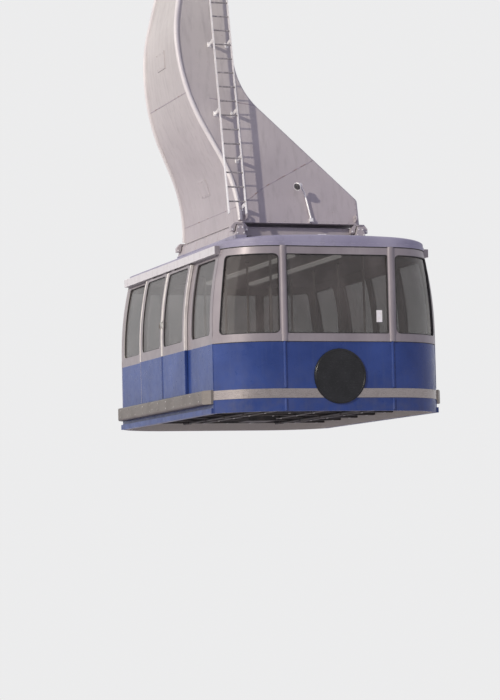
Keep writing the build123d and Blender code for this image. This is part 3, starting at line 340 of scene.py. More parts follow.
def weld_bead():
    """Painted weld bead, darker and a little rusty."""
    look = Look("weld_bead")
    ripple = look.noise(120.0, 3.0)
    color = look.mix(look.patches(9.0, 6.0, 0.5, 0.7), (0.36, 0.325, 0.35), (0.21, 0.135, 0.10))
    return look.done(color, look.span(ripple, 0.3, 0.7, 0.45, 0.7), 0.0, look.bump(ripple, 0.002, 0.7))


def ceiling_laminate():
    """Pale laminate ceiling with fine perforation."""
    look = Look("ceiling_laminate")
    holes = look.span(look.cells(70.0, "Distance"), 0.12, 0.16)
    tone = look.patches(3.0, 5.0, 0.3, 0.7)
    color = look.mix(tone, (0.62, 0.57, 0.57), (0.70, 0.66, 0.65))
    color = look.mix(holes, (0.30, 0.28, 0.28), color)
    return look.done(color, look.span(tone, 0.0, 1.0, 0.5, 0.65), 0.0, look.bump(holes, 0.001, 0.5))


def diffuser():
    """Milky light strip, faintly lit."""
    look = Look("diffuser")
    haze = look.patches(6.0, 4.0, 0.3, 0.7)
    color = look.mix(haze, (0.78, 0.77, 0.74), (0.86, 0.85, 0.82))
    ridge = look.bump(look.noise(30.0, 2.0, (8.0, 0.2, 1.0)), 0.001, 0.4)
    glow = {"Emission_Color": (1, 0.97, 0.92, 1), "Emission_Strength": 0.35}
    return look.done(color, look.span(haze, 0.0, 1.0, 0.30, 0.42), 0.0, ridge, **glow)


def paint_roof():
    """Roof paint, a silver-grey given a blue-lilac cast as painted shade, with water stains, dust and worn
    edges.
    """
    look = Look("roof_coat")
    # The blue-lilac cast in these colours is painted shade
    color = look.mix(look.patches(0.9, 5.0, 0.32, 0.7), (0.240, 0.228, 0.315), (0.330, 0.318, 0.400))
    stain = look.patches(2.4, 7.0, 0.52, 0.66, (1.6, 0.5, 1.0), 0.62)
    color = look.tint(color, stain, 0.45, (0.185, 0.178, 0.205))
    color = look.tint(color, look.patches(38.0, 4.0, 0.60, 0.72), 0.3, (0.19, 0.18, 0.17))
    color = look.tint(color, look.wear(0.014), 0.6, (0.62, 0.61, 0.64))
    rough = look.span(look.noise(6.0, 5.0), 0.3, 0.75, 0.42, 0.62)
    return look.done(color, rough, 0.0, look.grain(90.0, 3.0, 0.0008, 0.4))


def paint_hanger():
    """Warm pale grey paint on welded plate: clouds, runs, rust specks, painted shade that makes it darker and
    more lilac low down, and long edges lightened partly by wear and partly as painted highlight.
    """
    look = Look("hanger_coat")
    cloud = look.patches(0.8, 5.0, 0.33, 0.68)
    # Darker, more lilac colours low down: painted shade
    low = look.mix(cloud, (0.375, 0.340, 0.352), (0.455, 0.415, 0.420))
    high = look.mix(cloud, (0.480, 0.455, 0.425), (0.560, 0.535, 0.500))
    color = look.mix(look.span(look.axis("Z"), SKIRT + 3.4, SKIRT + 7.5), low, high)
    run = look.patches(2.6, 6.0, 0.50, 0.74, (5.0, 5.0, 0.28), 0.6)
    color = look.tint(color, run, 0.42, (0.285, 0.262, 0.255))
    color = look.tint(color, look.patches(21.0, 8.0, 0.665, 0.72, None, 0.7), 0.75, (0.17, 0.075, 0.035))
    # Wide pale edges: partly worn paint, partly painted highlight
    color = look.tint(color, look.wear(0.03, 0.03, 0.35), 0.55, (0.66, 0.64, 0.61))
    rough = look.span(look.noise(7.0, 5.0), 0.3, 0.75, 0.40, 0.60)
    plate = look.grain(0.9, 2.0, 0.012, 0.3, look.grain(70.0, 3.0, 0.0010, 0.35))
    return look.done(color, rough, 0.0, plate, Coat_Weight=0.15, Coat_Roughness=0.3)


def paint_white():
    """White gutter paint with drip marks and grime."""
    look = Look("white_paint")
    drip = look.math("MULTIPLY", look.patches(5.0, 6.0, 0.5, 0.72, (1.0, 3.0, 0.4), 0.6), 0.4)
    color = look.mix(drip, (0.60, 0.59, 0.59), (0.42, 0.40, 0.385))
    color = look.tint(color, look.patches(26.0, 4.0, 0.6, 0.75), 0.3, (0.38, 0.36, 0.33))
    rough = look.span(look.noise(8.0, 4.0), 0.3, 0.75, 0.34, 0.52)
    return look.done(color, rough, 0.0, look.grain(120.0, 2.0, 0.0005, 0.35))


def bumper_metal():
    """Bare aluminium bumper: lengthwise grain, scuffs and brown film."""
    look = Look("bumper_metal")
    brushed = look.noise(9.0, 6.0, (30.0, 0.5, 30.0), 0.7)
    color = look.mix(look.span(brushed, 0.3, 0.7), (0.165, 0.150, 0.138), (0.270, 0.245, 0.225))
    scuff = look.patches(5.0, 8.0, 0.60, 0.66, (1.0, 0.35, 3.0), 0.75)
    color = look.tint(color, scuff, 0.6, (0.46, 0.43, 0.40))
    color = look.tint(color, look.patches(3.0, 5.0, 0.45, 0.75), 0.5, (0.115, 0.10, 0.090))
    rough = look.span(brushed, 0.25, 0.75, 0.36, 0.60)
    return look.done(color, rough, 0.75, look.bump(brushed, 0.0012, 0.5))


def stripe_steel():
    """Bright brushed band with a warm cast."""
    look = Look("stripe_steel")
    brushed = look.noise(12.0, 6.0, (1.0, 1.0, 46.0), 0.72)
    color = look.mix(look.span(brushed, 0.3, 0.7), (0.20, 0.178, 0.180), (0.40, 0.360, 0.350))
    color = look.tint(color, look.patches(9.0, 6.0, 0.56, 0.72), 0.4, (0.17, 0.145, 0.13))
    rough = look.span(brushed, 0.25, 0.75, 0.20, 0.38)
    return look.done(color, rough, 0.9, look.bump(brushed, 0.0006, 0.4))


def disc_plastic():
    """Near-black satin plastic with fine scratches."""
    look = Look("disc_plastic")
    color = look.mix(look.patches(5.0, 5.0, 0.35, 0.7), (0.006, 0.0065, 0.008), (0.014, 0.0145, 0.017))
    color = look.tint(color, look.patches(30.0, 4.0, 0.56, 0.72), 0.35, (0.05, 0.05, 0.053))
    scratch = look.noise(22.0, 7.0, (0.4, 1.0, 5.0), 0.75)
    rough = look.span(scratch, 0.3, 0.7, 0.22, 0.42)
    return look.done(color, rough, 0.0, look.bump(scratch, 0.0006, 0.25), Specular_IOR_Level=0.35)


def seal_rubber():
    """Weathered black rubber."""
    look = Look("seal_rubber")
    color = look.mix(look.patches(24.0, 5.0, 0.4, 0.75), (0.016, 0.016, 0.017), (0.050, 0.049, 0.048))
    rough = look.span(look.noise(60.0, 3.0), 0.3, 0.7, 0.55, 0.80)
    return look.done(color, rough, 0.0, look.grain(420.0, 2.0, 0.0004, 0.5))


def stud_floor():
    """Dark floor rubber with round studs and dust trodden into it."""
    look = Look("stud_floor")
    stud = look.span(look.cells(26.0, "Distance"), 0.30, 0.38, 1.0, 0.0)
    tread = look.patches(1.8, 6.0, 0.4, 0.7)
    color = look.mix(tread, (0.035, 0.036, 0.040), (0.085, 0.082, 0.078))
    relief = look.bump(stud, 0.0025, 0.8, look.grain(200.0, 2.0, 0.0005, 0.3))
    return look.done(color, look.span(tread, 0.0, 1.0, 0.55, 0.75), 0.0, relief)


def chassis_paint():
    """Black chassis paint under dust, with rust on its edges."""
    look = Look("chassis_coat")
    dust = look.patches(4.0, 7.0, 0.40, 0.68, None, 0.65)
    color = look.mix(dust, (0.022, 0.022, 0.024), (0.095, 0.088, 0.080))
    color = look.tint(color, look.wear(0.008), 0.6, (0.20, 0.13, 0.09))
    return look.done(color, look.span(dust, 0.0, 1.0, 0.45, 0.82), 0.0, look.grain(60.0, 4.0, 0.0012, 0.5))


def zinc():
    """Hot-dip zinc with its spangle and white bloom."""
    look = Look("zinc")
    spangle = look.axis("X", look.cells(38.0))
    color = look.mix(spangle, (0.70, 0.69, 0.69), (0.86, 0.85, 0.84))
    color = look.tint(color, look.patches(7.0, 6.0, 0.5, 0.75), 0.5, (0.88, 0.87, 0.85))
    rough = look.span(spangle, 0.0, 1.0, 0.30, 0.52)
    return look.done(color, rough, 0.35, look.grain(120.0, 3.0, 0.0006, 0.4))


def turned_steel():
    """Machined steel with patches of oil."""
    look = Look("turned_steel")
    oil = look.patches(11.0, 6.0, 0.46, 0.68)
    color = look.mix(oil, (0.50, 0.49, 0.47), (0.13, 0.105, 0.085))
    return look.done(color, look.span(oil, 0.0, 1.0, 0.30, 0.18), 0.9, look.grain(90.0, 3.0, 0.0004, 0.35))


def paint_carriage():
    """Grey carriage paint with grease and chipped edges."""
    look = Look("carriage_coat")
    color = look.mix(look.patches(1.7, 5.0, 0.33, 0.7), (0.215, 0.220, 0.235), (0.285, 0.285, 0.295))
    grease = look.patches(5.5, 7.0, 0.54, 0.68, (1.0, 1.0, 0.5), 0.65)
    color = look.tint(color, grease, 0.7, (0.055, 0.048, 0.042))
    color = look.tint(color, look.wear(0.010), 0.7, (0.30, 0.20, 0.14))
    rough = look.span(grease, 0.0, 1.0, 0.48, 0.30)
    return look.done(color, rough, 0.0, look.grain(70.0, 3.0, 0.0010, 0.4))


def cast_wheel():
    """Cast steel wheel: pitted skin, dark grease and bright worn edges."""
    look = Look("cast_wheel")
    pit = look.noise(70.0, 5.0, None, 0.7)
    color = look.mix(look.patches(8.0, 6.0, 0.40, 0.68), (0.16, 0.155, 0.15), (0.045, 0.040, 0.036))
    color = look.tint(color, look.wear(0.010), 0.8, (0.45, 0.44, 0.42))
    return look.done(color, look.span(pit, 0.3, 0.7, 0.40, 0.66), 0.6, look.bump(pit, 0.0018, 0.5))


LOOKS = {
    "body_blue": paint_blue(),
    "body_silver": paint_silver(),
    "cabin_glass": glass_with_painted_reflection(),
    "roof_paint": paint_roof(),
    "hanger_paint": paint_hanger(),
    "track_paint": paint_white(),
    "rail_metal": bumper_metal(),
    "stripe_metal": stripe_steel(),
    "disc_black": disc_plastic(),
    "black_rubber": seal_rubber(),
    "floor_rubber": stud_floor(),
    "underframe_paint": chassis_paint(),
    "galvanised": zinc(),
    "machined_steel": turned_steel(),
    "carriage_paint": paint_carriage(),
    "wheel_steel": cast_wheel(),
}
for part in frame["record"]["subparts"]:
    materials = nodes[part["node"]].data.materials
    materials.clear()
    materials.append(LOOKS[part["material_slot"]])
nodes["grab_poles"].data.materials[0] = cream_pole()
nodes["ladder_rungs"].data.materials[0] = dark_rung()


# Mesh building
def axes(normal):
    """Two directions square to a normal."""
    first = UP.cross(normal)
    if first.length < 0.1:
        first = ACROSS.copy()
    first.normalize()
    return first, normal.cross(first)


def placed(at, across, up, out):
    """Frame at a place, from three directions square to each other."""
    place = Matrix((across, up, out)).transposed().to_4x4()
    place.translation = at
    return place


def row(first, last, count):
    """Evenly spaced values from first to last."""
    return [first + (last - first) * step / (count - 1) for step in range(count)]


def rectangle(x, z):
    return [Vector(corner) for corner in ((x[0], z[0]), (x[1], z[0]), (x[1], z[1]), (x[0], z[1]))]


def half_round(half, rise, steps=6):
    """Profile of a low bead that stands on a surface, with its feet a little sunk."""
    arc = [(half * cos(pi * step / steps), rise * sin(pi * step / steps)) for step in range(steps + 1)]
    return [(half, -0.002)] + arc + [(-half, -0.002)]


def object_of(work, name):
    """An edited mesh as an object in the scene."""
    mesh = bpy.data.meshes.new(name)
    work.to_mesh(mesh)
    work.free()
    made = bpy.data.objects.new(name, mesh)
    scene.collection.objects.link(made)
    return made


def shown(work, name, body, slot, look=None, sharp=SHARP_ANGLE):
    """Closes an edited mesh as a piece that rides on a body."""
    bmesh.ops.recalc_face_normals(work, faces=work.faces)
    for face in work.faces:
        face.smooth = True
    for edge in work.edges:
        edge.smooth = edge.calc_face_angle(0.0) < radians(sharp)
    piece = object_of(work, name)
    piece.data.materials.append(look or LOOKS[slot])
    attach(piece, body)
    return piece


class Piece:
    """Vertices and faces of one rigid piece, gathered from swept, turned and boxed forms."""

    def __init__(self):
        self.points, self.faces = [], []

    def add(self, points, faces):
        base = len(self.points)
        self.points += [Vector(point) for point in points]
        self.faces += [[base + index for index in face] for face in faces]

    def loft(self, points, size, closed=False):
        """Skin over rings of so many points each, shut at both ends unless it runs round."""
        count = len(points) // size
        faces = []
        for ring in range(count if closed else count - 1):
            here, there = ring * size, (ring + 1) % count * size
            for index in range(size):
                following = (index + 1) % size
                faces.append((here + index, here + following, there + following, there + index))
        if not closed:
            faces += [tuple(range(size)), tuple(range((count - 1) * size, count * size))]
        self.add(points, faces)

    def sweep(self, stations, profile, closed=False):
        """Closed profile of (a, b) pairs carried along stations of (point, a direction, b direction)."""
        self.loft([at + u * a + v * b for at, u, v in stations for a, b in profile], len(profile), closed)

    def bar(self, places, across, out, profile):
        """Profile carried along places with the same two directions all the way."""
        self.sweep([(Vector(at), across, out) for at in places], profile)

    def turn(self, at, normal, profile, steps=16, start=0.0):
        """Profile of (radius, along) pairs turned about a line; a radius of nothing closes it."""
        at, n = Vector(at), Vector(normal).normalized()
        u, v = axes(n)
        points, rings, faces = [], [], []
        for radius, along in profile:
            ring = steps if radius > 0 else 1
            rings.append((len(points), ring))
            for step in range(ring):
                angle = start + 2 * pi * step / steps
                points.append(at + n * along + (u * cos(angle) + v * sin(angle)) * radius)
        for (low, low_size), (high, high_size) in zip(rings, rings[1:]):
            for step in range(steps):
                after = (step + 1) % steps
                face = [low + step % low_size, low + after % low_size]
                face += [high + after % high_size, high + step % high_size]
                faces.append(list(dict.fromkeys(face)))
        for first, size in (rings[0], rings[-1]):
            if size > 1:
                faces.append(list(range(first, first + size)))
        self.add(points, faces)

    def box(self, x, y, z, edge=0.0, place=Matrix.Identity(4)):
        """Box over three ranges, its upright and top edges cut by a chamfer, in a placed frame."""
        (x0, x1), (y0, y1), (z0, z1) = sorted(x), sorted(y), sorted(z)
        outline, levels = [(x0, y0), (x1, y0), (x1, y1), (x0, y1)], [(z0, 0.0), (z1, 0.0)]
        if edge:
            outline = [(x0 + edge, y0), (x1 - edge, y0), (x1, y0 + edge), (x1, y1 - edge)]
            outline += [(x1 - edge, y1), (x0 + edge, y1), (x0, y1 - edge), (x0, y0 + edge)]
            levels = [(z0, 0.0), (z1 - edge, 0.0), (z1, edge)]
        middle_x, middle_y = (x0 + x1) / 2, (y0 + y1) / 2
        points = []
        for level, shrink in levels:
            share_x, share_y = 1 - 2 * shrink / (x1 - x0), 1 - 2 * shrink / (y1 - y0)
            for px, py in outline:
                corner = (middle_x + (px - middle_x) * share_x, middle_y + (py - middle_y) * share_y, level)
                points.append(place @ Vector(corner))
        self.loft(points, len(outline))

    def tube(self, points, radius, steps=12):
        """Round tube through points."""
        points = [Vector(point) for point in points]
        stations, u = [], None
        for index, point in enumerate(points):
            along = (points[min(index + 1, len(points) - 1)] - points[max(index - 1, 0)]).normalized()
            u = axes(along)[0] if u is None else (u - along * u.dot(along)).normalized()
            stations.append((point, u, along.cross(u)))
        angles = [2 * pi * step / steps for step in range(steps)]
        self.sweep(stations, [(radius * cos(angle), radius * sin(angle)) for angle in angles])

    def bolt(self, at, normal, size=0.012, turn=0.0):
        """Hexagon head on a washer."""
        self.turn(at, normal, ((size * 1.15, -0.001), (size * 1.15, size * 0.22), (0, size * 0.22)), 18)
        head = ((size * 0.92, 0), (size * 0.92, size * 0.75), (size * 0.80, size * 0.86), (0, size * 0.86))
        self.turn(at, normal, head, 6, turn)

    def rivet(self, at, normal, size):
        """Low dome."""
        dome = ((size, -0.001), (size * 0.94, size * 0.25), (size * 0.6, size * 0.48), (0, size * 0.58))
        self.turn(at, normal, dome, 12)

    def nipple(self, at, normal, size):
        """Grease nipple or plain stud with a domed end."""
        radius, neck, tip, end = size
        self.turn(at, normal, ((radius, 0), (radius, neck), (tip, end), (0, end)), 10)

    def mesh(self):
        """The gathered points and faces, ready to be edited."""
        draft = bpy.data.meshes.new("draft")
        draft.from_pydata([tuple(point) for point in self.points], [], self.faces)
        work = bmesh.new()
        work.from_mesh(draft)
        bpy.data.meshes.remove(draft)
        return work

    def make(self, name, body, slot, look=None):
        return shown(self.mesh(), name, body, slot, look)


def rounded(corners, radius, steps=6):
    """Outline through a polygon's corners, each one turned into an arc."""
    outline = []
    for index, corner in enumerate(corners):
        back = (corners[index - 1] - corner).normalized()
        on = (corners[(index + 1) % len(corners)] - corner).normalized()
        half = back.angle(on) / 2
        centre = corner + (back + on).normalized() * radius / sin(half)
        first = corner + back * radius / tan(half) - centre
        last = corner + on * radius / tan(half) - centre
        outline += [centre + first.slerp(last, step / steps) * first.length for step in range(steps + 1)]
    return outline


def dense(outline, pitch=0.09, closed=True):
    """The same outline with points added along its long runs."""
    made = []
    for index, point in enumerate(outline if closed else outline[:-1]):
        following = outline[(index + 1) % len(outline)]
        parts = max(1, ceil((following - point).length / pitch))
        made += [point.lerp(following, part / parts) for part in range(parts)]
    return made if closed else made + [outline[-1]]


# Skins of the cabin and the hanger: each gives a place and its outward normal
def lean_x(z, offset=0.0):
    """Half width of the cabin at a height, grown outwards by an offset."""
    return HALF_W - LEAN_R + sqrt((LEAN_R + offset) ** 2 - max(0.0, z - LEAN_START) ** 2)


def corner_arc(z):
    """Radius and sweep of the plan arc that joins an end's flat to the side."""
    across = lean_x(z) - END_FLAT
    radius = (across ** 2 + END_DEPTH ** 2) / (2 * END_DEPTH)
    return radius, acos((radius - END_DEPTH) / radius)


def side_skin(side, offset=0.0):
    """A side's skin, from (y, z)."""

    def skin(y, z):
        tilt = asin(max(0.0, z - LEAN_START) / LEAN_R)
        return Vector((side * lean_x(z, offset), y, SKIRT + z)), Vector((side * cos(tilt), 0, sin(tilt)))

    return skin


def flat_skin(end):
    """The flat middle of an end, from (x, z)."""
    return lambda x, z: (Vector((x, end * NOSE_Y, SKIRT + z)), Vector((0, end, 0)))


def corner_place(end, side, angle, z, offset=0.0):
    """Place on a bowed corner at an angle from the end's flat."""
    radius = corner_arc(z)[0]
    x = END_FLAT + (radius + offset) * sin(angle)
    y = NOSE_Y - radius * (1 - cos(angle)) + offset * cos(angle)
    return Vector((side * x, end * y, SKIRT + z))


def corner_middle(radius):
    """Place of the arc's middle along the plane that a corner window is cut in."""
    return -END_FLAT * cos(CORNER_LOOK) + (NOSE_Y - radius) * sin(CORNER_LOOK)


def corner_skin(end, side):
    """A bowed corner, from the window's own (w, z) plane."""

    def skin(w, z):
        radius = corner_arc(z)[0]
        angle = CORNER_LOOK + asin((corner_middle(radius) - w) / radius)
        at = corner_place(end, side, angle, z)
        forward = corner_place(end, side, angle + 0.01, z) - at
        upward = corner_place(end, side, angle, z + 0.01) - at
        normal = forward.cross(upward).normalized()
        return at, normal if normal.dot(Vector((side, end, 0))) > 0 else -normal

    return skin


def corner_outline():
    """Four corners of a corner window in its (w, z) plane."""
    corners = []
    for z in END_WINDOW_Z:
        radius, sweep = corner_arc(z)
        angles = [sweep - CORNER_POST / radius, asin((CORNER_INNER_X - END_FLAT) / radius)]
        pair = [Vector((corner_middle(radius) - radius * sin(angle - CORNER_LOOK), z)) for angle in angles]
        corners += pair[::-1] if corners else pair
    return corners


def hanger_left(z):
    """Place across of the hanger's left side at a height, on the source's arcs and straight runs."""
    if z < FACE_Z:
        return -1.03
    if z < 4.363:
        return -3.63 + sqrt(2.6 ** 2 - (z - FACE_Z) ** 2)
    if z < 4.7526:
        return -1.3045 - 0.5 * (z - 4.363)
    if z < 6.3:
        return 1.595 - sqrt(3.46 ** 2 - (z - 6.3) ** 2)
    if z < 6.751:
        return 0.435 - sqrt(2.3 ** 2 - (z - 6.3) ** 2)
    return -1.8203 + 0.2 * (z - 6.751)


def half_depth(z):
    return FACE_Y - TAPER * (z - FACE_Z)


def left_skin(y, z):
    """The hanger's left side."""
    slope = (hanger_left(z + 0.01) - hanger_left(z - 0.01)) / 0.02
    return Vector((hanger_left(z), y, SKIRT + z)), Vector((-1, 0, slope)).normalized()


def face_skin(end):
    """The hanger's tilted front or rear face, from (x, z)."""
    normal = Vector((0, end, TAPER)).normalized()
    return lambda x, z: (Vector((x, end * half_depth(z), SKIRT + z)), normal)


def around(outline, skin):
    """Stations along a closed outline on a skin: place, direction into the opening, outward normal."""
    places = [skin(*point) for point in outline]
    centre = sum((at for at, _ in places), Vector()) / len(places)
    stations = []
    for index, (at, normal) in enumerate(places):
        run = places[(index + 1) % len(places)][0] - places[index - 1][0]
        inward = normal.cross(run).normalized()
        stations.append((at, inward if inward.dot(centre - at) > 0 else -inward, normal))
    return stations


def end_run(end, z, offset, steps=14):
    """Stations round one bowed end, from its left joint to its right one."""
    angles = row(0.0, corner_arc(z)[1], steps + 1)
    turns = [(LEFT, angle) for angle in reversed(angles)] + [(RIGHT, angle) for angle in angles]
    stations = []
    for side, angle in turns:
        out = Vector((side * sin(angle), end * cos(angle), 0))
        stations.append((corner_place(end, side, angle, z, offset), out, UP))
    return stations


def upright(side, y, offset, z, pitch=0.12):
    """Stations up a side's skin at one place along the cabin."""
    places = [side_skin(side, offset)(y, level) for level in row(*z, max(1, ceil((z[1] - z[0]) / pitch)) + 1)]
    return [(at, ALONG, normal) for at, normal in places]


# Pieces made from CAD nodes whose shape the photograph corrects
def welded(node):
    """Mesh of a CAD node with its split points joined."""
    work = bmesh.new()
    work.from_mesh(nodes[node].data)
    bmesh.ops.remove_doubles(work, verts=work.verts, dist=WELD_DISTANCE)
    return work


def lowered(z):
    """Height that a height over the cornice comes down to."""
    return CORNICE_TOP + (z - CORNICE_TOP) * ROOF_FLATTEN


def lower_roof():
    """Roof with a flatter crown above its cornice."""
    work = welded("roof")
    for vert in work.verts:
        if vert.co.z > SKIRT + CORNICE_TOP:
            vert.co.z = SKIRT + lowered(vert.co.z - SKIRT)
    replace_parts(shown(work, "roof_shell", nodes["roof"]["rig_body"], "roof_paint", None, 20.0), "roof")


def taller_windows(node, name, side, spans):
    """Copy of a side frame or a door leaf whose windows reach up to the gutter."""
    cutter = Piece()
    for low, high in spans:
        outline = rounded(rectangle((low - 0.0015, high + 0.0015), SIDE_WINDOW_Z), WINDOW_R)
        cutter.loft([Vector((side * x, y, SKIRT + z)) for x in (1.2, 2.3) for y, z in outline], len(outline))
    blade = cutter.mesh()
    bmesh.ops.recalc_face_normals(blade, faces=blade.faces)
    whole, tool = object_of(welded(node), name + "_cut"), object_of(blade, name + "_blade")
    cut = whole.modifiers.new("cut", "BOOLEAN")
    cut.operation, cut.solver, cut.object = "DIFFERENCE", "EXACT", tool
    bpy.context.view_layer.update()
    ready = whole.evaluated_get(bpy.context.evaluated_depsgraph_get())
    work = bmesh.new()
    work.from_mesh(ready.to_mesh())
    ready.to_mesh_clear()
    for spent in (whole, tool):
        bpy.data.objects.remove(spent)
    bmesh.ops.remove_doubles(work, verts=work.verts, dist=WELD_DISTANCE)
    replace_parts(shown(work, name, nodes[node]["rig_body"], "body_silver"), node)


def panes(name, node, side, offset, spans):
    """Curved panes of glass between two skins, rounded at their corners."""
    glass = Piece()
    for span in spans:
        levels = {}
        for y, z in dense(rounded(rectangle(span, SIDE_WINDOW_Z), WINDOW_R), 0.06):
            levels.setdefault(round(z, 4), []).append(y)
        rows = [(z, min(ys), max(ys)) for z, ys in sorted(levels.items())]
        for depth in (0.0, -GLASS_T):
            skin = side_skin(side, offset + depth)
            points = [skin(y, z)[0] for z, low, high in rows for y in (low, high)]
            glass.add(points, [(2 * i, 2 * i + 1, 2 * i + 3, 2 * i + 2) for i in range(len(rows) - 1)])
        count = 2 * len(rows)
        base = len(glass.points) - 2 * count
        edge = list(range(base, base + count, 2)) + list(range(base + count - 1, base, -2))
        for here, there in zip(edge, edge[1:] + edge[:1]):
            glass.faces.append([here, there, there + count, here + count])
    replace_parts(glass.make(name, nodes[node]["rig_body"], "cabin_glass"), node)


BAYS = [sorted(end * y for y in BAY_Y) for end in ENDS]
DOOR_PANES = {end: sorted(end * y for y in DOOR_GLASS_Y) for end in ENDS}
BAY_PANE_OUT, DOOR_PANE_OUT = -0.024, 0.034


def side_windows(side):
    name = SIDES[side]
    taller_windows(f"side_frame_{name}", f"side_posts_{name}", side, BAYS)
    panes(f"bay_panes_{name}", f"side_glass_{name}", side, BAY_PANE_OUT, BAYS)
    for end, end_name in ENDS.items():
        label = f"{name}_{end_name}"
        taller_windows(f"door_leaf_{label}", f"door_stiles_{label}", side, [DOOR_PANES[end]])
        panes(f"door_pane_{label}", f"door_glass_{label}", side, DOOR_PANE_OUT, [DOOR_PANES[end]])


# Rubber seals round every pane; their profiles run into the opening and out of the skin
SEAL = (
    (-0.003, -0.024), (0.009, -0.024), (0.011, -0.014), (0.0105, -0.004), (0.007, 0.003), (0.002, 0.0045),
    (-0.003, 0.002),
)
LIP = ((-0.003, -0.024), (0.010, -0.024), (0.0105, -0.019), (0.006, -0.014), (-0.003, -0.014))
LEAF_LIP = tuple((into, out + 0.010) for into, out in LIP)


def end_seals(end):
    seals = Piece()
    for side in SIDES:
        outline = dense(rounded(corner_outline(), WINDOW_R))
        seals.sweep(around(outline, corner_skin(end, side)), SEAL, True)
    middle = dense(rounded(rectangle((-FRONT_HALF, FRONT_HALF), END_WINDOW_Z), 0.02, 3))
    seals.sweep(around(middle, flat_skin(end)), SEAL, True)
    seals.make(f"end_seals_{ENDS[end]}", "cabin", "black_rubber")


def side_seals(side):
    def seal(piece, span, offset, profile):
        outline = dense(rounded(rectangle(span, SIDE_WINDOW_Z), WINDOW_R))
        piece.sweep(around(outline, side_skin(side, offset)), profile, True)

    seals = Piece()
    for bay in BAYS:
        seal(seals, bay, 0.0, LIP)
    seals.make(f"bay_seals_{SIDES[side]}", "cabin", "black_rubber")
    for end, end_name in ENDS.items():
        label = f"{SIDES[side]}_{end_name}"
        leaf = Piece()
        seal(leaf, DOOR_PANES[end], LEAF_OUT, LEAF_LIP)
        leaf.make(f"door_seal_{label}", f"door_{label}", "black_rubber")


def end_shadow_lines(end):
    """Black strips of painted shadow under the cornice and over the sill band, and beads where the end meets
    the sides.
    """
    shadow_line, beads, low = Piece(), Piece(), Piece()
    under = ((-0.004, -0.007), (0.007, -0.007), (0.009, 0.005), (-0.004, 0.005))
    over = ((-0.004, -0.005), (0.006, -0.005), (0.008, 0.004), (-0.004, 0.004))
    # Black strips that stand for the shadow lines under the cornice and over the sill band: painted shadow
    shadow_line.sweep(end_run(end, CEILING_Z - 0.006, 0.0), under)
    shadow_line.sweep(end_run(end, WAIST_Z - 0.004, 0.0), over)
    bead = half_round(0.011, 0.006)
    for side in SIDES:
        beads.sweep(upright(side, end * JOINT_Y, 0.0, (WAIST_Z + 0.002, 2.525)), bead)
        for span in ((0.0, STRIPE_Z[0] - 0.01), (STRIPE_Z[1] + 0.03, WAIST_Z - 0.008)):
            low.sweep(upright(side, end * JOINT_Y, 0.0, span), bead)
    shadow_line.make(f"end_shadow_lines_{ENDS[end]}", "cabin", "black_rubber")
    beads.make(f"corner_beads_{ENDS[end]}", "cabin", "body_silver")
    low.make(f"corner_beads_low_{ENDS[end]}", "cabin", "body_blue")


# Door stiles and edge profiles wear this trim, whose brightness is partly painted sunlight
TRIM = trim_with_painted_sunlight()


def door_fittings(side, end):
    """Edge profiles, meeting rubber, pull and rivets of one door leaf."""
    label = f"{SIDES[side]}_{ENDS[end]}"
    body, skin = f"door_{label}", side_skin(side, LEAF_OUT)
    top = LEAF_Z[1] - 0.004
    trims, low, rubber, pull, rivets = [Piece() for _ in range(5)]
    for y in (end * (DOOR_HALF - 0.013), end * 0.020):
        trims.sweep(upright(side, y, LEAF_OUT, (WAIST_Z + 0.004, top)), half_round(0.012, 0.009))
        low.sweep(upright(side, y, LEAF_OUT, (LEAF_Z[0] + 0.01, WAIST_Z - 0.004)), half_round(0.012, 0.007))
    edge = upright(side, end * (DOOR_HALF + 0.002), LEAF_OUT, (WAIST_Z + 0.004, top))
    trims.sweep(edge, rectangle((-0.003, 0.003), (-0.040, 0.005)))
    meeting = upright(side, end * 0.003, LEAF_OUT, (LEAF_Z[0] + 0.004, top))
    rubber.sweep(meeting, rectangle((end * 0.004, end * -0.001), (-0.038, 0.004)))
    foot = [side_skin(side, LEAF_OUT - 0.012)(end * y, LEAF_Z[0])[0] for y in (0.006, DOOR_HALF - 0.004)]
    rubber.bar(foot, Vector((side, 0, 0)), UP, rectangle((-0.007, 0.005), (-0.030, 0.016)))
    at, normal = skin(end * 0.058, 1.62)
    plate = placed(at, normal, ALONG, normal.cross(ALONG))
    pull.box((-0.002, 0.004), (-0.020, 0.020), (-0.085, 0.085), 0.0015, plate)
    grip = ((0.004, -0.055), (0.026, -0.045), (0.026, 0.045), (0.004, 0.055))
    pull.tube([at + normal * out + UP * rise for out, rise in grip], 0.007, 10)
    for z in row(LEAF_Z[0] + 0.06, LEAF_Z[0] + 0.69, 8):
        for y in (end * (DOOR_HALF - 0.05), end * 0.06):
            rivets.rivet(*skin(y, z), 0.007)
    trims.make(f"door_trims_{label}", body, "body_silver", TRIM)
    low.make(f"door_trims_low_{label}", body, "body_blue")
    rubber.make(f"door_rubbers_{label}", body, "black_rubber")
    pull.make(f"door_pull_{label}", body, "machined_steel")
    rivets.make(f"door_rivets_{label}", body, "body_blue")


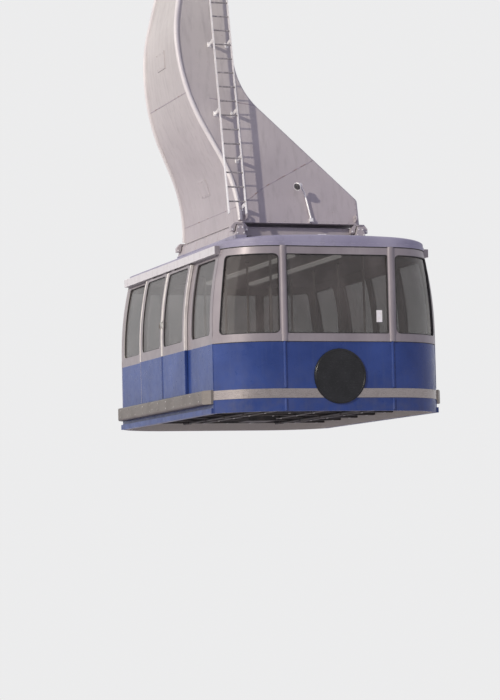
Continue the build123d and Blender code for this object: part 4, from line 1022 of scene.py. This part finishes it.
def side_fittings(side):
    """Door sill, gutter ends and clips, and the rub rail's bolts and laps."""
    sill, ends, clips, bolts, laps = [Piece() for _ in range(5)]
    across = (side * (HALF_W - 0.075), side * (HALF_W + 0.002))
    sill.box(across, (-1.232, 1.232), (SKIRT + 0.40, SKIRT + 0.406), 0.002)
    for inset in (0.062, 0.048, 0.034, 0.020):
        run = [(side * (HALF_W - inset), y, SKIRT + 0.406) for y in (-1.22, 1.22)]
        sill.bar(run, ACROSS, UP, half_round(0.004, 0.003, 4))
    foot, lip = lean_x(TRACK_Z[0]), lean_x(TRACK_Z[0]) + TRACK_OUT
    low, high = SKIRT + TRACK_Z[0], SKIRT + TRACK_Z[1]
    for end in ENDS:
        y = (end * (JOINT_Y - 0.002), end * (JOINT_Y + 0.005))
        ends.box((side * (foot - 0.004), side * (lip + 0.001)), y, (low - 0.001, high + 0.001), 0.001)
    for y in row(-2.4, 2.4, 9):
        x = (side * (lip - 0.001), side * (lip + 0.004))
        clips.box(x, (y - 0.02, y + 0.02), (low + 0.004, high - 0.004), 0.001)
    for y in row(-2.25, 2.25, 11):
        for z in (0.205, 0.315):
            bolts.rivet((side * RAIL_X, y, SKIRT + z), (side, 0, 0), 0.013)
    for y in (-0.9, 0.9):
        run = [(side * RAIL_X, y, SKIRT + z) for z in (0.18, 0.34)]
        laps.bar(run, ALONG, Vector((side, 0, 0)), half_round(0.012, 0.002, 4))
    sill.make(f"door_sill_{SIDES[side]}", "cabin", "machined_steel")
    ends.make(f"gutter_ends_{SIDES[side]}", "cabin", "body_silver")
    clips.make(f"gutter_clips_{SIDES[side]}", "cabin", "track_paint")
    bolts.make(f"rail_bolts_{SIDES[side]}", "cabin", "machined_steel")
    laps.make(f"rail_laps_{SIDES[side]}", "cabin", "rail_metal")


def disc_fittings(end):
    """Rim and screws of an end disc."""
    rim, screws = Piece(), Piece()
    centre = Vector((0, end * (NOSE_Y + 0.026), SKIRT + 0.55))
    ring = ((0.404, -0.004), (0.401, 0.003), (0.405, 0.006), (0.413, 0.006), (0.418, 0.002), (0.418, -0.004))
    spokes = [Vector((cos(2 * pi * step / 72), 0, sin(2 * pi * step / 72))) for step in range(72)]
    rim.sweep([(centre, out, Vector((0, end, 0))) for out in spokes], ring, True)
    for step in range(8):
        angle = pi / 8 + pi * step / 4
        screws.rivet(centre + Vector((cos(angle), 0, sin(angle))) * 0.385, (0, end, 0), 0.009)
    rim.make(f"disc_rim_{ENDS[end]}", "cabin", "disc_black")
    screws.make(f"disc_screws_{ENDS[end]}", "cabin", "disc_black")


# Roof and suspension frame
def roof_z(x):
    """Height of the lowered roof's skin."""
    return lowered(ROOF_TOP - ROOF_R + sqrt(ROOF_R ** 2 - x * x))


def roof_seams():
    seams, dots = Piece(), Piece()
    for y in (-2.85, -1.82, -0.90, 0.0, 0.90, 1.82, 2.85):
        reach = 1.56 if abs(y) < 2 else 1.10
        xs = row(-reach, reach, 21)
        seams.bar([(x, y, SKIRT + roof_z(x)) for x in xs], ALONG, UP, half_round(0.016, 0.009))
        for x in xs[::2]:
            if not 0.9 < abs(x) < 1.2:
                for shift in (-0.04, 0.04):
                    dots.rivet((x, y + shift, SKIRT + roof_z(x)), UP, 0.007)
    seams.make("roof_seams", "cabin", "roof_paint")
    dots.make("roof_rivets", "cabin", "roof_paint")


def hatch_fittings():
    """Seal, hinges and handle of the roof hatch."""
    seal, fittings = Piece(), Piece()
    lid = SKIRT + lowered(HATCH_TOP)
    half_x, half_y = HATCH_HALF
    centre = Vector((0, HATCH_Y))
    outline = rounded(rectangle((-half_x, half_x), (HATCH_Y - half_y, HATCH_Y + half_y)), 0.06)
    stations = [(Vector((*p, lid - 0.012)), (p - centre).normalized().to_3d(), UP) for p in outline]
    seal.sweep(stations, rectangle((-0.004, 0.008), (-0.008, 0.006)), True)
    for x in (-0.24, 0.24):
        leaf = (HATCH_Y + 0.285, HATCH_Y + 0.345)
        fittings.box((x - 0.035, x + 0.035), leaf, (lid - 0.002, lid + 0.006), 0.002)
        fittings.tube([(x + reach, HATCH_Y + 0.318, lid + 0.008) for reach in (-0.045, 0.045)], 0.009)
    grip = ((-0.08, -0.002), (-0.08, 0.035), (-0.065, 0.046), (0.065, 0.046), (0.08, 0.035), (0.08, -0.002))
    fittings.tube([(x, HATCH_Y - 0.24, lid + rise) for x, rise in grip], 0.008)
    seal.make("hatch_seal", "cabin", "black_rubber")
    fittings.make("hatch_fittings", "cabin", "galvanised")


def frame_kerbs():
    """Kerbs on the roof that carry the suspension frame, with ribs and bolts."""
    kerbs, bolts = Piece(), Piece()
    foot = SKIRT + roof_z(1.15)
    for side in SIDES:
        x = side * FRAME_X
        kerbs.box((x - 0.10, x + 0.10), (-1.60, 1.60), (foot - 0.01, SKIRT + FRAME_FOOT), 0.003)
        for y in row(-1.52, 1.52, 9):
            for out in (LEFT, RIGHT):
                face = x + out * 0.10
                kerbs.box((face - 0.006, face + 0.006), (y - 0.006, y + 0.006), (foot - 0.005, SKIRT + 2.965))
                bolts.bolt((face, y + 0.05, SKIRT + 2.90), (out, 0, 0), 0.012)
    kerbs.make("frame_kerbs", "cabin", "roof_paint")
    bolts.make("frame_kerb_bolts", "cabin", "galvanised")


def frame_covers():
    """Cover plates, ribs and bolts of the suspension frame, and the edges of its cross beams."""
    covers, bolts, edges = Piece(), Piece(), Piece()
    top = SKIRT + FRAME_TOP
    for side in SIDES:
        x = side * FRAME_X
        covers.box((x - 0.050, x + 0.050), (-1.40, 1.40), (top - 0.002, top + 0.007), 0.002)
        for y in (-1.18, -0.60, 0.0, 0.60, 1.18):
            for out in (LEFT, RIGHT):
                rib = [(x + out * 0.084, y, SKIRT + FRAME_FOOT + 0.004), (x + out * 0.046, y, top - 0.002)]
                covers.bar(rib, ALONG, Vector((out * 0.97, 0, 0.23)), half_round(0.008, 0.006, 4))
        for step, y in enumerate(row(-1.30, 1.30, 12)):
            bolts.bolt((x, y, top + 0.007), UP, 0.011, step * 0.4)
        for end in ENDS:
            for reach in (-0.055, 0.055):
                bolts.bolt((x + reach, end * 1.60, SKIRT + 3.005), (0, end, 0), 0.012)
                bolts.bolt((x + reach * 0.6, end * 1.60, SKIRT + 3.095), (0, end, 0), 0.012)
    for end in ENDS:
        for face in (FRONT, REAR):
            for z in (2.985, 3.115):
                run = [(x, end * 1.36 + face * 0.06, SKIRT + z) for x in (-0.965, 0.965)]
                edges.bar(run, UP, Vector((0, face, 0)), half_round(0.010, 0.008, 4))
    covers.make("frame_covers", "cabin", "hanger_paint")
    bolts.make("frame_bolts", "cabin", "galvanised")
    edges.make("cross_beam_edges", "cabin", "hanger_paint")


def yoke_bolts():
    bolts = Piece()
    for side in SIDES:
        for end in ENDS:
            for face in (FRONT, REAR):
                for reach in (-0.123, 0.123):
                    at = (side * FRAME_X + reach, end * YOKE_Y + face * 0.0475, SKIRT + 3.068)
                    bolts.bolt(at, (0, face, 0), 0.013)
    bolts.make("yoke_bolts", HANGER_BODY, "galvanised")


# Hanger, ladder and lamp
def seam(piece, points, skin):
    """Weld bead along a path on a skin."""
    path = [skin(*point) for point in dense([Vector(point) for point in points], 0.15, False)]
    stations = []
    for index, (at, normal) in enumerate(path):
        run = path[min(index + 1, len(path) - 1)][0] - path[max(index - 1, 0)][0]
        stations.append((at, run.cross(normal).normalized(), normal))
    piece.sweep(stations, half_round(0.009, 0.004, 4))


# Runs of beads on the hanger's faces, through (x, z) places
FACE_WELDS = (
    ((-0.99, 3.48), (-0.553, 3.80), (0.303, 4.26), (0.34, 4.28)),
    ((-1.38, 5.30), (-0.60, 5.20)),
    ((-1.72, 7.40), (-0.93, 7.36)),
    ((-1.45, 8.80), (-0.93, 8.80)),
)


def hanger_welds():
    welds = Piece()
    for z in (3.46, 5.40, 7.30, 8.75):
        reach = half_depth(z) - 0.05
        seam(welds, ((-reach, z), (reach, z)), left_skin)
    for end in ENDS:
        for run in FACE_WELDS:
            seam(welds, run, face_skin(end))
    welds.make("hanger_welds", HANGER_BODY, "hanger_paint", weld_bead())


def hanger_edge(end):
    """Rounded left edge of the hanger's front or rear face, from its foot to its head, in paint lightened as
    a painted highlight.
    """
    levels = row(FACE_Z + 0.02, 9.32, 61)
    edge = Piece()
    edge.tube([(hanger_left(z) + 0.004, end * (half_depth(z) - 0.004), SKIRT + z) for z in levels], 0.040, 16)
    edge.make(f"hanger_edge_{ENDS[end]}", HANGER_BODY, "hanger_paint", painted_highlight_edge())


def hanger_covers():
    """Bolts along the hanger's foot and its inspection covers."""
    bolts, covers = Piece(), Piece()
    for end in ENDS:
        for z in row(3.26, 3.545, 4):
            bolts.bolt(*face_skin(end)(1.005, z), 0.010)
        for x in row(-0.82, 0.86, 7):
            bolts.bolt(*face_skin(end)(x, 3.215), 0.009)
    for z in (3.95, 6.10):
        at, normal = left_skin(0.0, z)
        place = placed(at, ALONG, ALONG.cross(normal).normalized(), normal)
        covers.box((-0.21, 0.21), (-0.15, 0.15), (-0.004, 0.010), 0.004, place)
        for a in (-0.18, 0.0, 0.18):
            for b in (-0.12, 0.12):
                covers.bolt(place @ Vector((a, b, 0.010)), normal, 0.010)
    bolts.make("hanger_bolts", HANGER_BODY, "hanger_paint")
    covers.make("hanger_covers", HANGER_BODY, "hanger_paint")


def ladder_fittings():
    """Rails that carry the ladder on below its CAD foot, and the bolted pads of its brackets."""
    shoes, pads = Piece(), Piece()
    skin, low = face_skin(FRONT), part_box("ladder")[0].z - SKIRT
    out = Vector((0, FRONT, TAPER)).normalized()
    for x in LADDER_X:
        run = [skin(x, low + rise)[0] + out * LADDER_OUT for rise in (-0.125, 0.045)]
        shoes.bar(run, ACROSS, out, rectangle((-0.006, 0.006), (-0.036, 0.036)))
    brackets = [(LADDER_X[1], z) for z in (3.39, 4.2)]
    brackets += [(x, z) for z in (5.0, 6.2, 7.4, 8.6) for x in LADDER_X]
    for x, z in brackets:
        at, face = skin(x, z + 0.03)[0], RIGHT if x == LADDER_X[1] else LEFT
        place = placed(at, ACROSS, out.cross(ACROSS).normalized(), out)
        pads.box((-0.030, 0.030), (-0.045, 0.045), (-0.004, 0.008), 0.002, place)
        for reach in (-0.028, 0.028):
            pads.bolt(place @ Vector((0.018, reach, 0.008)), out, 0.008)
        pads.bolt(at + out * 0.232 + ACROSS * face * 0.005, (face, 0, 0), 0.009)
    shoes.make("ladder_shoes", HANGER_BODY, "galvanised")
    pads.make("ladder_bolts", HANGER_BODY, "galvanised")


def lamp_mouth():
    """Middle of the lamp shade's mouth and the way it faces, from the source's sizes."""
    out, up = Vector((0, FRONT, TAPER)).normalized(), Vector((0, TAPER, 1)).normalized()
    rise = (3.785 - FACE_Z) * hypot(1, TAPER)
    back = Vector((0.01, -FACE_Y, SKIRT + FACE_Z)) + up * rise + out * 0.170
    aim = (Vector((-0.72, 0, 0)) + up * -0.5 + out * 0.48).normalized()
    return back + aim * 0.112, aim


def lamp_fittings():
    """Glass and ring in the lamp's mouth."""
    lens, ring = Piece(), Piece()
    at, aim = lamp_mouth()
    lens.turn(at, aim, ((0.058, -0.014), (0.057, -0.006), (0.040, 0.004), (0.018, 0.008), (0, 0.009)), 28)
    outer = ((0.0675, -0.010), (0.0700, -0.008), (0.0700, 0.002), (0.0675, 0.004))
    ring.turn(at, aim, outer + ((0.0600, 0.004), (0.0600, -0.010)), 32)
    lens.make("lamp_lens", HANGER_BODY, "cabin_glass", lamp_glass())
    ring.make("lamp_ring", HANGER_BODY, "galvanised")


# Carriage
def beam_fittings():
    """Stiffeners between the main beam's flanges, its bolt rows and two lifting plates."""
    plates, bolts = Piece(), Piece()
    for side in SIDES:
        for y in (-1.36, -1.05, -0.70, -0.36, 0.36, 0.70, 1.05, 1.36):
            top = BEAM_Z[1] - max(0.0, abs(y) - 1.05) * 0.20 / 0.73 - 0.020
            plates.box((side * 0.118, side * 0.141), (y - 0.007, y + 0.007), (BEAM_Z[0] + 0.020, top))
        for step, y in enumerate(row(-1.02, 1.02, 13)):
            for z, out in zip(BEAM_Z, (-1, 1)):
                bolts.bolt((side * BEAM_HALF, y, z), (0, 0, out), 0.008, step * 0.3)
    for y in (-0.80, 0.80):
        plates.box((-0.010, 0.010), (y - 0.09, y + 0.09), (BEAM_Z[1] - 0.002, 1.03), 0.004)
        plates.turn((-0.012, y, 1.045), ACROSS, ((0.045, 0), (0.045, 0.024), (0.020, 0.024), (0.020, 0)), 24)
    plates.make("beam_stiffeners", "carriage", "carriage_paint")
    bolts.make("beam_bolts", "carriage", "galvanised")


def pin_caps():
    """Bolt circle and boss on both ends of the hanger's pin."""
    caps = Piece()
    disc = ((0.055, -0.001), (0.055, 0.010), (0.048, 0.014), (0, 0.014))
    boss = ((0.010, 0), (0.009, 0.012), (0.004, 0.020), (0, 0.020))
    for corner, out in zip(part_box("main_pin"), (LEFT, RIGHT)):
        for step in range(8):
            angle = pi / 8 + pi * step / 4
            at = (corner.x, 0.115 * cos(angle), PIN_Z + 0.115 * sin(angle))
            caps.bolt(at, (out, 0, 0), 0.012, angle)
        caps.turn((corner.x, 0, PIN_Z), (out, 0, 0), disc, 32)
        caps.turn((corner.x + out * 0.014, 0, PIN_Z), (out, 0, 0), boss, 12)
    caps.make("pin_cap_bolts", nodes["main_pin"]["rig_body"], "galvanised")


def rocker_fittings(end):
    """Keeper plates over a rocker's pins, and its edge flats."""
    keepers, flats = Piece(), Piece()
    pivot = Vector((0, end * ROCKER_Y, ROCKER_Z))
    feet = [Vector((0, end * ROCKER_Y + arm, BOGIE_Z)) for arm in (-BOGIE_ARM, BOGIE_ARM)]
    for at in [pivot] + feet:
        for out in (LEFT, RIGHT):
            face = at + ACROSS * out * 0.198
            place = Matrix.Translation(face) @ Matrix.Rotation(0.5, 4, "X")
            keepers.box((out * -0.001, out * 0.005), (-0.085, 0.085), (-0.018, 0.018), 0.0, place)
            for reach in (-0.072, 0.072):
                keepers.bolt(place @ Vector((out * 0.004, reach, 0)), (out, 0, 0), 0.010)
            keepers.nipple(face + ACROSS * out * 0.004, (out, 0, 0), (0.007, 0.010, 0.004, 0.018))
    for foot in feet:
        run = (foot - pivot).normalized()
        square = ACROSS.cross(run)
        for out in (LEFT, RIGHT):
            for edge in (-1, 1):
                first = pivot + square * edge * 0.088 + run * 0.13 + ACROSS * out * ROCKER_X
                last = foot + square * edge * 0.072 - run * 0.11 + ACROSS * out * ROCKER_X
                flats.bar((first, last), square, ACROSS * out, half_round(0.009, 0.008, 4))
    keepers.make(f"rocker_keepers_{ENDS[end]}", f"rocker_{ENDS[end]}", "galvanised")
    flats.make(f"rocker_edges_{ENDS[end]}", f"rocker_{ENDS[end]}", "carriage_paint")


def bogie_fittings(number):
    """Ribs on a bogie's arms, and its bolts and grease nipples."""
    ribs, marks = Piece(), Piece()
    low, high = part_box(f"bogie_{number}")
    hub = Vector((0, (low.y + high.y) / 2, BOGIE_Z))
    for arm in (-AXLE_ARM, AXLE_ARM):
        slope = Vector((0, arm, AXLE_Z - BOGIE_Z))
        for out in (LEFT, RIGHT):
            run = [hub + slope * share + ACROSS * out * 0.065 for share in (0.26, 0.78)]
            ribs.bar(run, ACROSS.cross(slope.normalized()), ACROSS * out, half_round(0.022, 0.010))
        marks.bolt(hub + Vector((0, arm * 0.5, -0.0095)), (0, arm * 0.5, 1), 0.011)
    for at, radius in ((hub, 0.080), (hub - slope.reflect(UP), 0.070), (hub + slope, 0.070)):
        marks.nipple(at + UP * (radius - 0.002), UP, (0.008, 0.012, 0.005, 0.020))
    ribs.make(f"bogie_ribs_{number}", f"bogie_{number}", "carriage_paint")
    marks.make(f"bogie_nipples_{number}", f"bogie_{number}", "machined_steel")


def wheel_fittings(number):
    """Ribs on the webs, rubber liners in the grooves, hub bolts and axle nuts of a wheel set."""
    ribs, liners, ends = Piece(), Piece(), Piece()
    low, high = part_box(f"wheelset_{number}")
    axle = Vector((0, (low.y + high.y) / 2, (low.z + high.z) / 2))
    bed = ((0.2030, 0.0135), (0.2115, 0.0262), (0.2105, 0.0268), (0.1990, 0.0135))
    groove = bed + tuple((radius, -across) for radius, across in reversed(bed))
    spokes = [Vector((0, cos(2 * pi * step / 64), sin(2 * pi * step / 64))) for step in range(64)]
    for out in (LEFT, RIGHT):
        centre = axle + ACROSS * out * WHEEL_X
        for step in range(6):
            place = Matrix.Translation(centre) @ Matrix.Rotation(pi * step / 3, 4, "X")
            for face in (-1, 1):
                ribs.box((face * 0.012, face * 0.034), (-0.007, 0.007), (0.070, 0.168), 0.0, place)
        liners.sweep([(centre, spoke, ACROSS) for spoke in spokes], groove, True)
        hub = centre + ACROSS * out * 0.048
        ends.turn(hub, (out, 0, 0), ((0.068, -0.001), (0.068, 0.006), (0.050, 0.009), (0.040, 0.009)), 28)
        for step in range(6):
            angle = pi * step / 3
            at = hub + Vector((out * 0.007, 0.054 * cos(angle), 0.054 * sin(angle)))
            ends.bolt(at, (out, 0, 0), 0.0075, angle)
        nut = ((0.040, -0.004), (0.040, 0.012), (0.036, 0.016), (0.018, 0.0165), (0, 0.0165))
        ends.turn(axle + ACROSS * out * (high.x - 0.020), (out, 0, 0), nut, 6)
    ribs.make(f"wheel_ribs_{number}", f"wheelset_{number}", "wheel_steel")
    liners.make(f"wheel_liners_{number}", f"wheelset_{number}", "black_rubber")
    ends.make(f"axle_ends_{number}", f"wheelset_{number}", "machined_steel")


def drawbar_fittings():
    """Splice plates and bolts of the drawbar and its strut, and the haul ropes' socket pins."""
    plates, bolts = Piece(), Piece()
    for out in (LEFT, RIGHT):
        for y in (-1.75, 1.75):
            plates.box((out * 0.048, out * 0.060), (y - 0.20, y + 0.20), (BAR_Z - 0.035, BAR_Z + 0.035))
            for step, bolt_y in enumerate(row(y - 0.15, y + 0.15, 4)):
                for z in (BAR_Z - 0.018, BAR_Z + 0.018):
                    bolts.bolt((out * 0.060, bolt_y, z), (out, 0, 0), 0.009, step)
        holes = [(y, -0.100) for y in (-0.42, -0.30, 0.30, 0.42)]
        for y, z in holes + [(y, z) for z in (0.05, 0.32, 0.60) for y in (-0.14, 0.14)]:
            bolts.bolt((out * BAR_X, y, z), (out, 0, 0), 0.011)
    pin = ((0.030, 0), (0.030, 0.011), (0.0195, 0.011), (0.0195, 0.113), (0.030, 0.113), (0.030, 0.124))
    for end in ENDS:
        bolts.turn((-0.062, end * BAR_EYE_Y, BAR_Z), ACROSS, pin, 20)
    plates.make("drawbar_plates", "carriage", "carriage_paint")
    bolts.make("drawbar_bolts", "carriage", "galvanised")


# Under and inside the cabin
def underfloor():
    """Two lengthwise pipes in their clamps, a box, and the underframe's bolts."""
    pipes, bolts = Piece(), Piece()
    for x in (-0.86, 0.86):
        pipes.tube([(x, y, SKIRT + 0.085) for y in (-2.3, 2.3)], 0.022, 14)
        for y in row(-2.0, 2.0, 5):
            pipes.box((x - 0.030, x + 0.030), (y - 0.020, y + 0.020), (SKIRT + 0.060, SKIRT + 0.112), 0.002)
    pipes.box((-0.25, 0.25), (0.55, 1.15), (SKIRT + 0.045, SKIRT + 0.24), 0.010)
    low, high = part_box("underframe")
    for y in row(low.y + 0.045, high.y - 0.045, 7):
        for x in (-1.70, -1.29, -0.43, 0.0, 0.43, 1.29, 1.70):
            for shift in (-0.026, 0.026):
                bolts.bolt((x, y + shift, low.z), (0, 0, -1), 0.010)
    pipes.make("underfloor_pipes", "cabin", "underframe_paint")
    bolts.make("underframe_bolts", "cabin", "galvanised")


def ceiling():
    """Lining over the whole plan, and two light strips under it."""
    panel, lights = Piece(), Piece()
    front, rear = [[at for at, _, _ in end_run(end, 2.59, -0.062)] for end in (FRONT, REAR)]
    plan = front + rear[::-1]
    panel.loft(plan + [at + UP * 0.012 for at in plan], len(plan))
    for x in (-0.40, 0.40):
        lights.box((x - 0.07, x + 0.07), (-2.2, 2.2), (SKIRT + 2.555, SKIRT + 2.592), 0.012)
    panel.make("ceiling_lining", "cabin", "track_paint", ceiling_laminate())
    lights.make("ceiling_lights", "cabin", "track_paint", diffuser())


def handrails():
    """Flanges of the poles, and rails round the ends and along the fixed bays."""
    rails = Piece()
    flange = ((0.050, 0), (0.050, 0.005), (0.026, 0.012), (0.026, 0.030), (0.0185, 0.030))
    for y in row(-POLE_Y, POLE_Y, 5):
        for x in (-POLE_X, POLE_X):
            rails.turn((x, y, SKIRT + FLOOR_Z), UP, flange, 24)
            rails.turn((x, y, SKIRT + 2.59), -UP, flange, 24)
    for end in ENDS:
        path = [at for at, _, _ in end_run(end, 1.17, -0.125, 10)]
        rails.tube(path, 0.016)
        for at in path[1:-1:4]:
            out = Vector((at.x, at.y - end * 1.6, 0)).normalized()
            rails.tube([at, at + out * 0.068], 0.009, 8)
        for side in SIDES:
            x, wall = side * (HALF_W - 0.125), side * (HALF_W - 0.058)
            rails.tube([(x, end * y, SKIRT + 1.17) for y in (1.42, 2.50)], 0.016)
            for y in (end * 1.48, end * 2.42):
                rails.tube([(x, y, SKIRT + 1.17), (wall, y, SKIRT + 1.17)], 0.009, 8)
    rails.make("handrails", "cabin", "machined_steel")


def blank_notice():
    """Blank white card on the outside of the front glass."""
    card = Piece()
    card.box((0.655, 0.752), (-NOSE_Y + 0.0205, -NOSE_Y + 0.0245), (SKIRT + 1.41, SKIRT + 1.60))
    card.make("blank_notice", "cabin", "track_paint", white_card())


# Lights, floor, background and camera
PALE = (0.84, 0.84, 0.845, 1)
SKY = (0.345, 0.34, 0.50, 1)
EYE = Vector((-14.0905, -39.944, -10.770))
FLOOR_LEVEL, FLOOR_HALF = EYE.z - 0.0002, 90.0
TURN, RISE, ROLL = radians(-18.934), radians(4.382), radians(-1.309)


def sun(name, energy, width, color, toward):
    data = bpy.data.lights.new(name, "SUN")
    data.energy, data.angle, data.color = energy, radians(width), color
    lamp = bpy.data.objects.new(name, data)
    lamp.rotation_euler = Vector(toward).to_track_quat("Z", "Y").to_euler()
    scene.collection.objects.link(lamp)


def sky():
    """Soft blue-grey light, which shows as the pale background to the eye, in gloss and through glass."""
    scene.world = bpy.data.worlds.new("sky")
    scene.world.use_nodes = True
    graph = Graph(scene.world.node_tree)
    rays = graph.add("LightPath").outputs
    mirrored = graph.math("MAXIMUM", rays["Is Glossy Ray"], rays["Is Transmission Ray"])
    seen = graph.math("MAXIMUM", rays["Is Camera Ray"], mirrored)
    fill, pale = [graph.add("Background", Color=color).outputs[0] for color in (SKY, PALE)]
    graph.add("OutputWorld", Surface=graph.add("MixShader", i0=seen, i1=fill, i2=pale).outputs[0])


def ground():
    """Pale floor that fades into the background far out and is see-through from below."""
    mesh = bpy.data.meshes.new("ground")
    corners = rectangle((-FLOOR_HALF, FLOOR_HALF), (-FLOOR_HALF, FLOOR_HALF))
    mesh.from_pydata([(x, y, FLOOR_LEVEL) for x, y in corners], [], [(0, 1, 2, 3)])
    piece = bpy.data.objects.new("ground", mesh)
    scene.collection.objects.link(piece)
    look = Look("ground")
    far = look.add("VectorMath", {"operation": "LENGTH"}, i0=look.place).outputs["Value"]
    camera_ray = look.add("LightPath").outputs["Is Camera Ray"]
    seen = look.math("MULTIPLY", look.span(far, 13.0, 27.0), camera_ray)
    matt = look.add("BsdfDiffuse", Color=(0.86, 0.83, 0.77, 1)).outputs[0]
    glow = look.add("Emission", Color=PALE, Strength=1.0).outputs[0]
    clear = look.add("BsdfTransparent").outputs[0]
    top = look.add("MixShader", i0=seen, i1=matt, i2=glow).outputs[0]
    both = look.add("MixShader", i0=look.geometry.outputs["Backfacing"], i1=top, i2=clear).outputs[0]
    look.add("OutputMaterial", Surface=both)
    mesh.materials.append(look.material)


def camera():
    """Telephoto view from floor level at the front left."""
    ahead = Vector((-sin(TURN) * cos(RISE), cos(TURN) * cos(RISE), sin(RISE)))
    right = Vector((cos(TURN), sin(TURN), 0))
    up = right.cross(ahead)
    data = bpy.data.cameras.new("camera")
    data.lens, data.sensor_width = 128.571, 36.0
    data.clip_start, data.clip_end = 0.5, 400.0
    view = bpy.data.objects.new("camera", data)
    scene.collection.objects.link(view)
    across, over = right * cos(ROLL) + up * sin(ROLL), up * cos(ROLL) - right * sin(ROLL)
    view.matrix_world = placed(EYE, across, over, -ahead)
    scene.camera = view


# Every piece in turn, from the cabin's skin to the carriage and back inside
lower_roof()
for fitting in (side_windows, end_seals, side_seals, end_shadow_lines):
    for way in (-1, 1):
        fitting(way)
for side in SIDES:
    for end in ENDS:
        door_fittings(side, end)
for side in SIDES:
    side_fittings(side)
for end in ENDS:
    disc_fittings(end)
for fitting in (roof_seams, hatch_fittings, frame_kerbs, frame_covers, yoke_bolts, hanger_welds):
    fitting()
for end in ENDS:
    hanger_edge(end)
for fitting in (hanger_covers, ladder_fittings, lamp_fittings, beam_fittings, pin_caps):
    fitting()
for end in ENDS:
    rocker_fittings(end)
for number in range(1, 5):
    bogie_fittings(number)
for number in range(1, 9):
    wheel_fittings(number)
for fitting in (drawbar_fittings, underfloor, ceiling, handrails, blank_notice):
    fitting()

# Low warm sun from the left front, soft light thrown back from the left, and the sky
sun("key", 2.30, 2.0, (1.0, 0.93, 0.82), (-0.82, -0.46, 0.42))
sun("bounce", 0.85, 70.0, (1.0, 0.94, 0.86), (-1.0, 0.22, 0.10))
sky()
ground()
camera()
scene.view_settings.view_transform = "Standard"
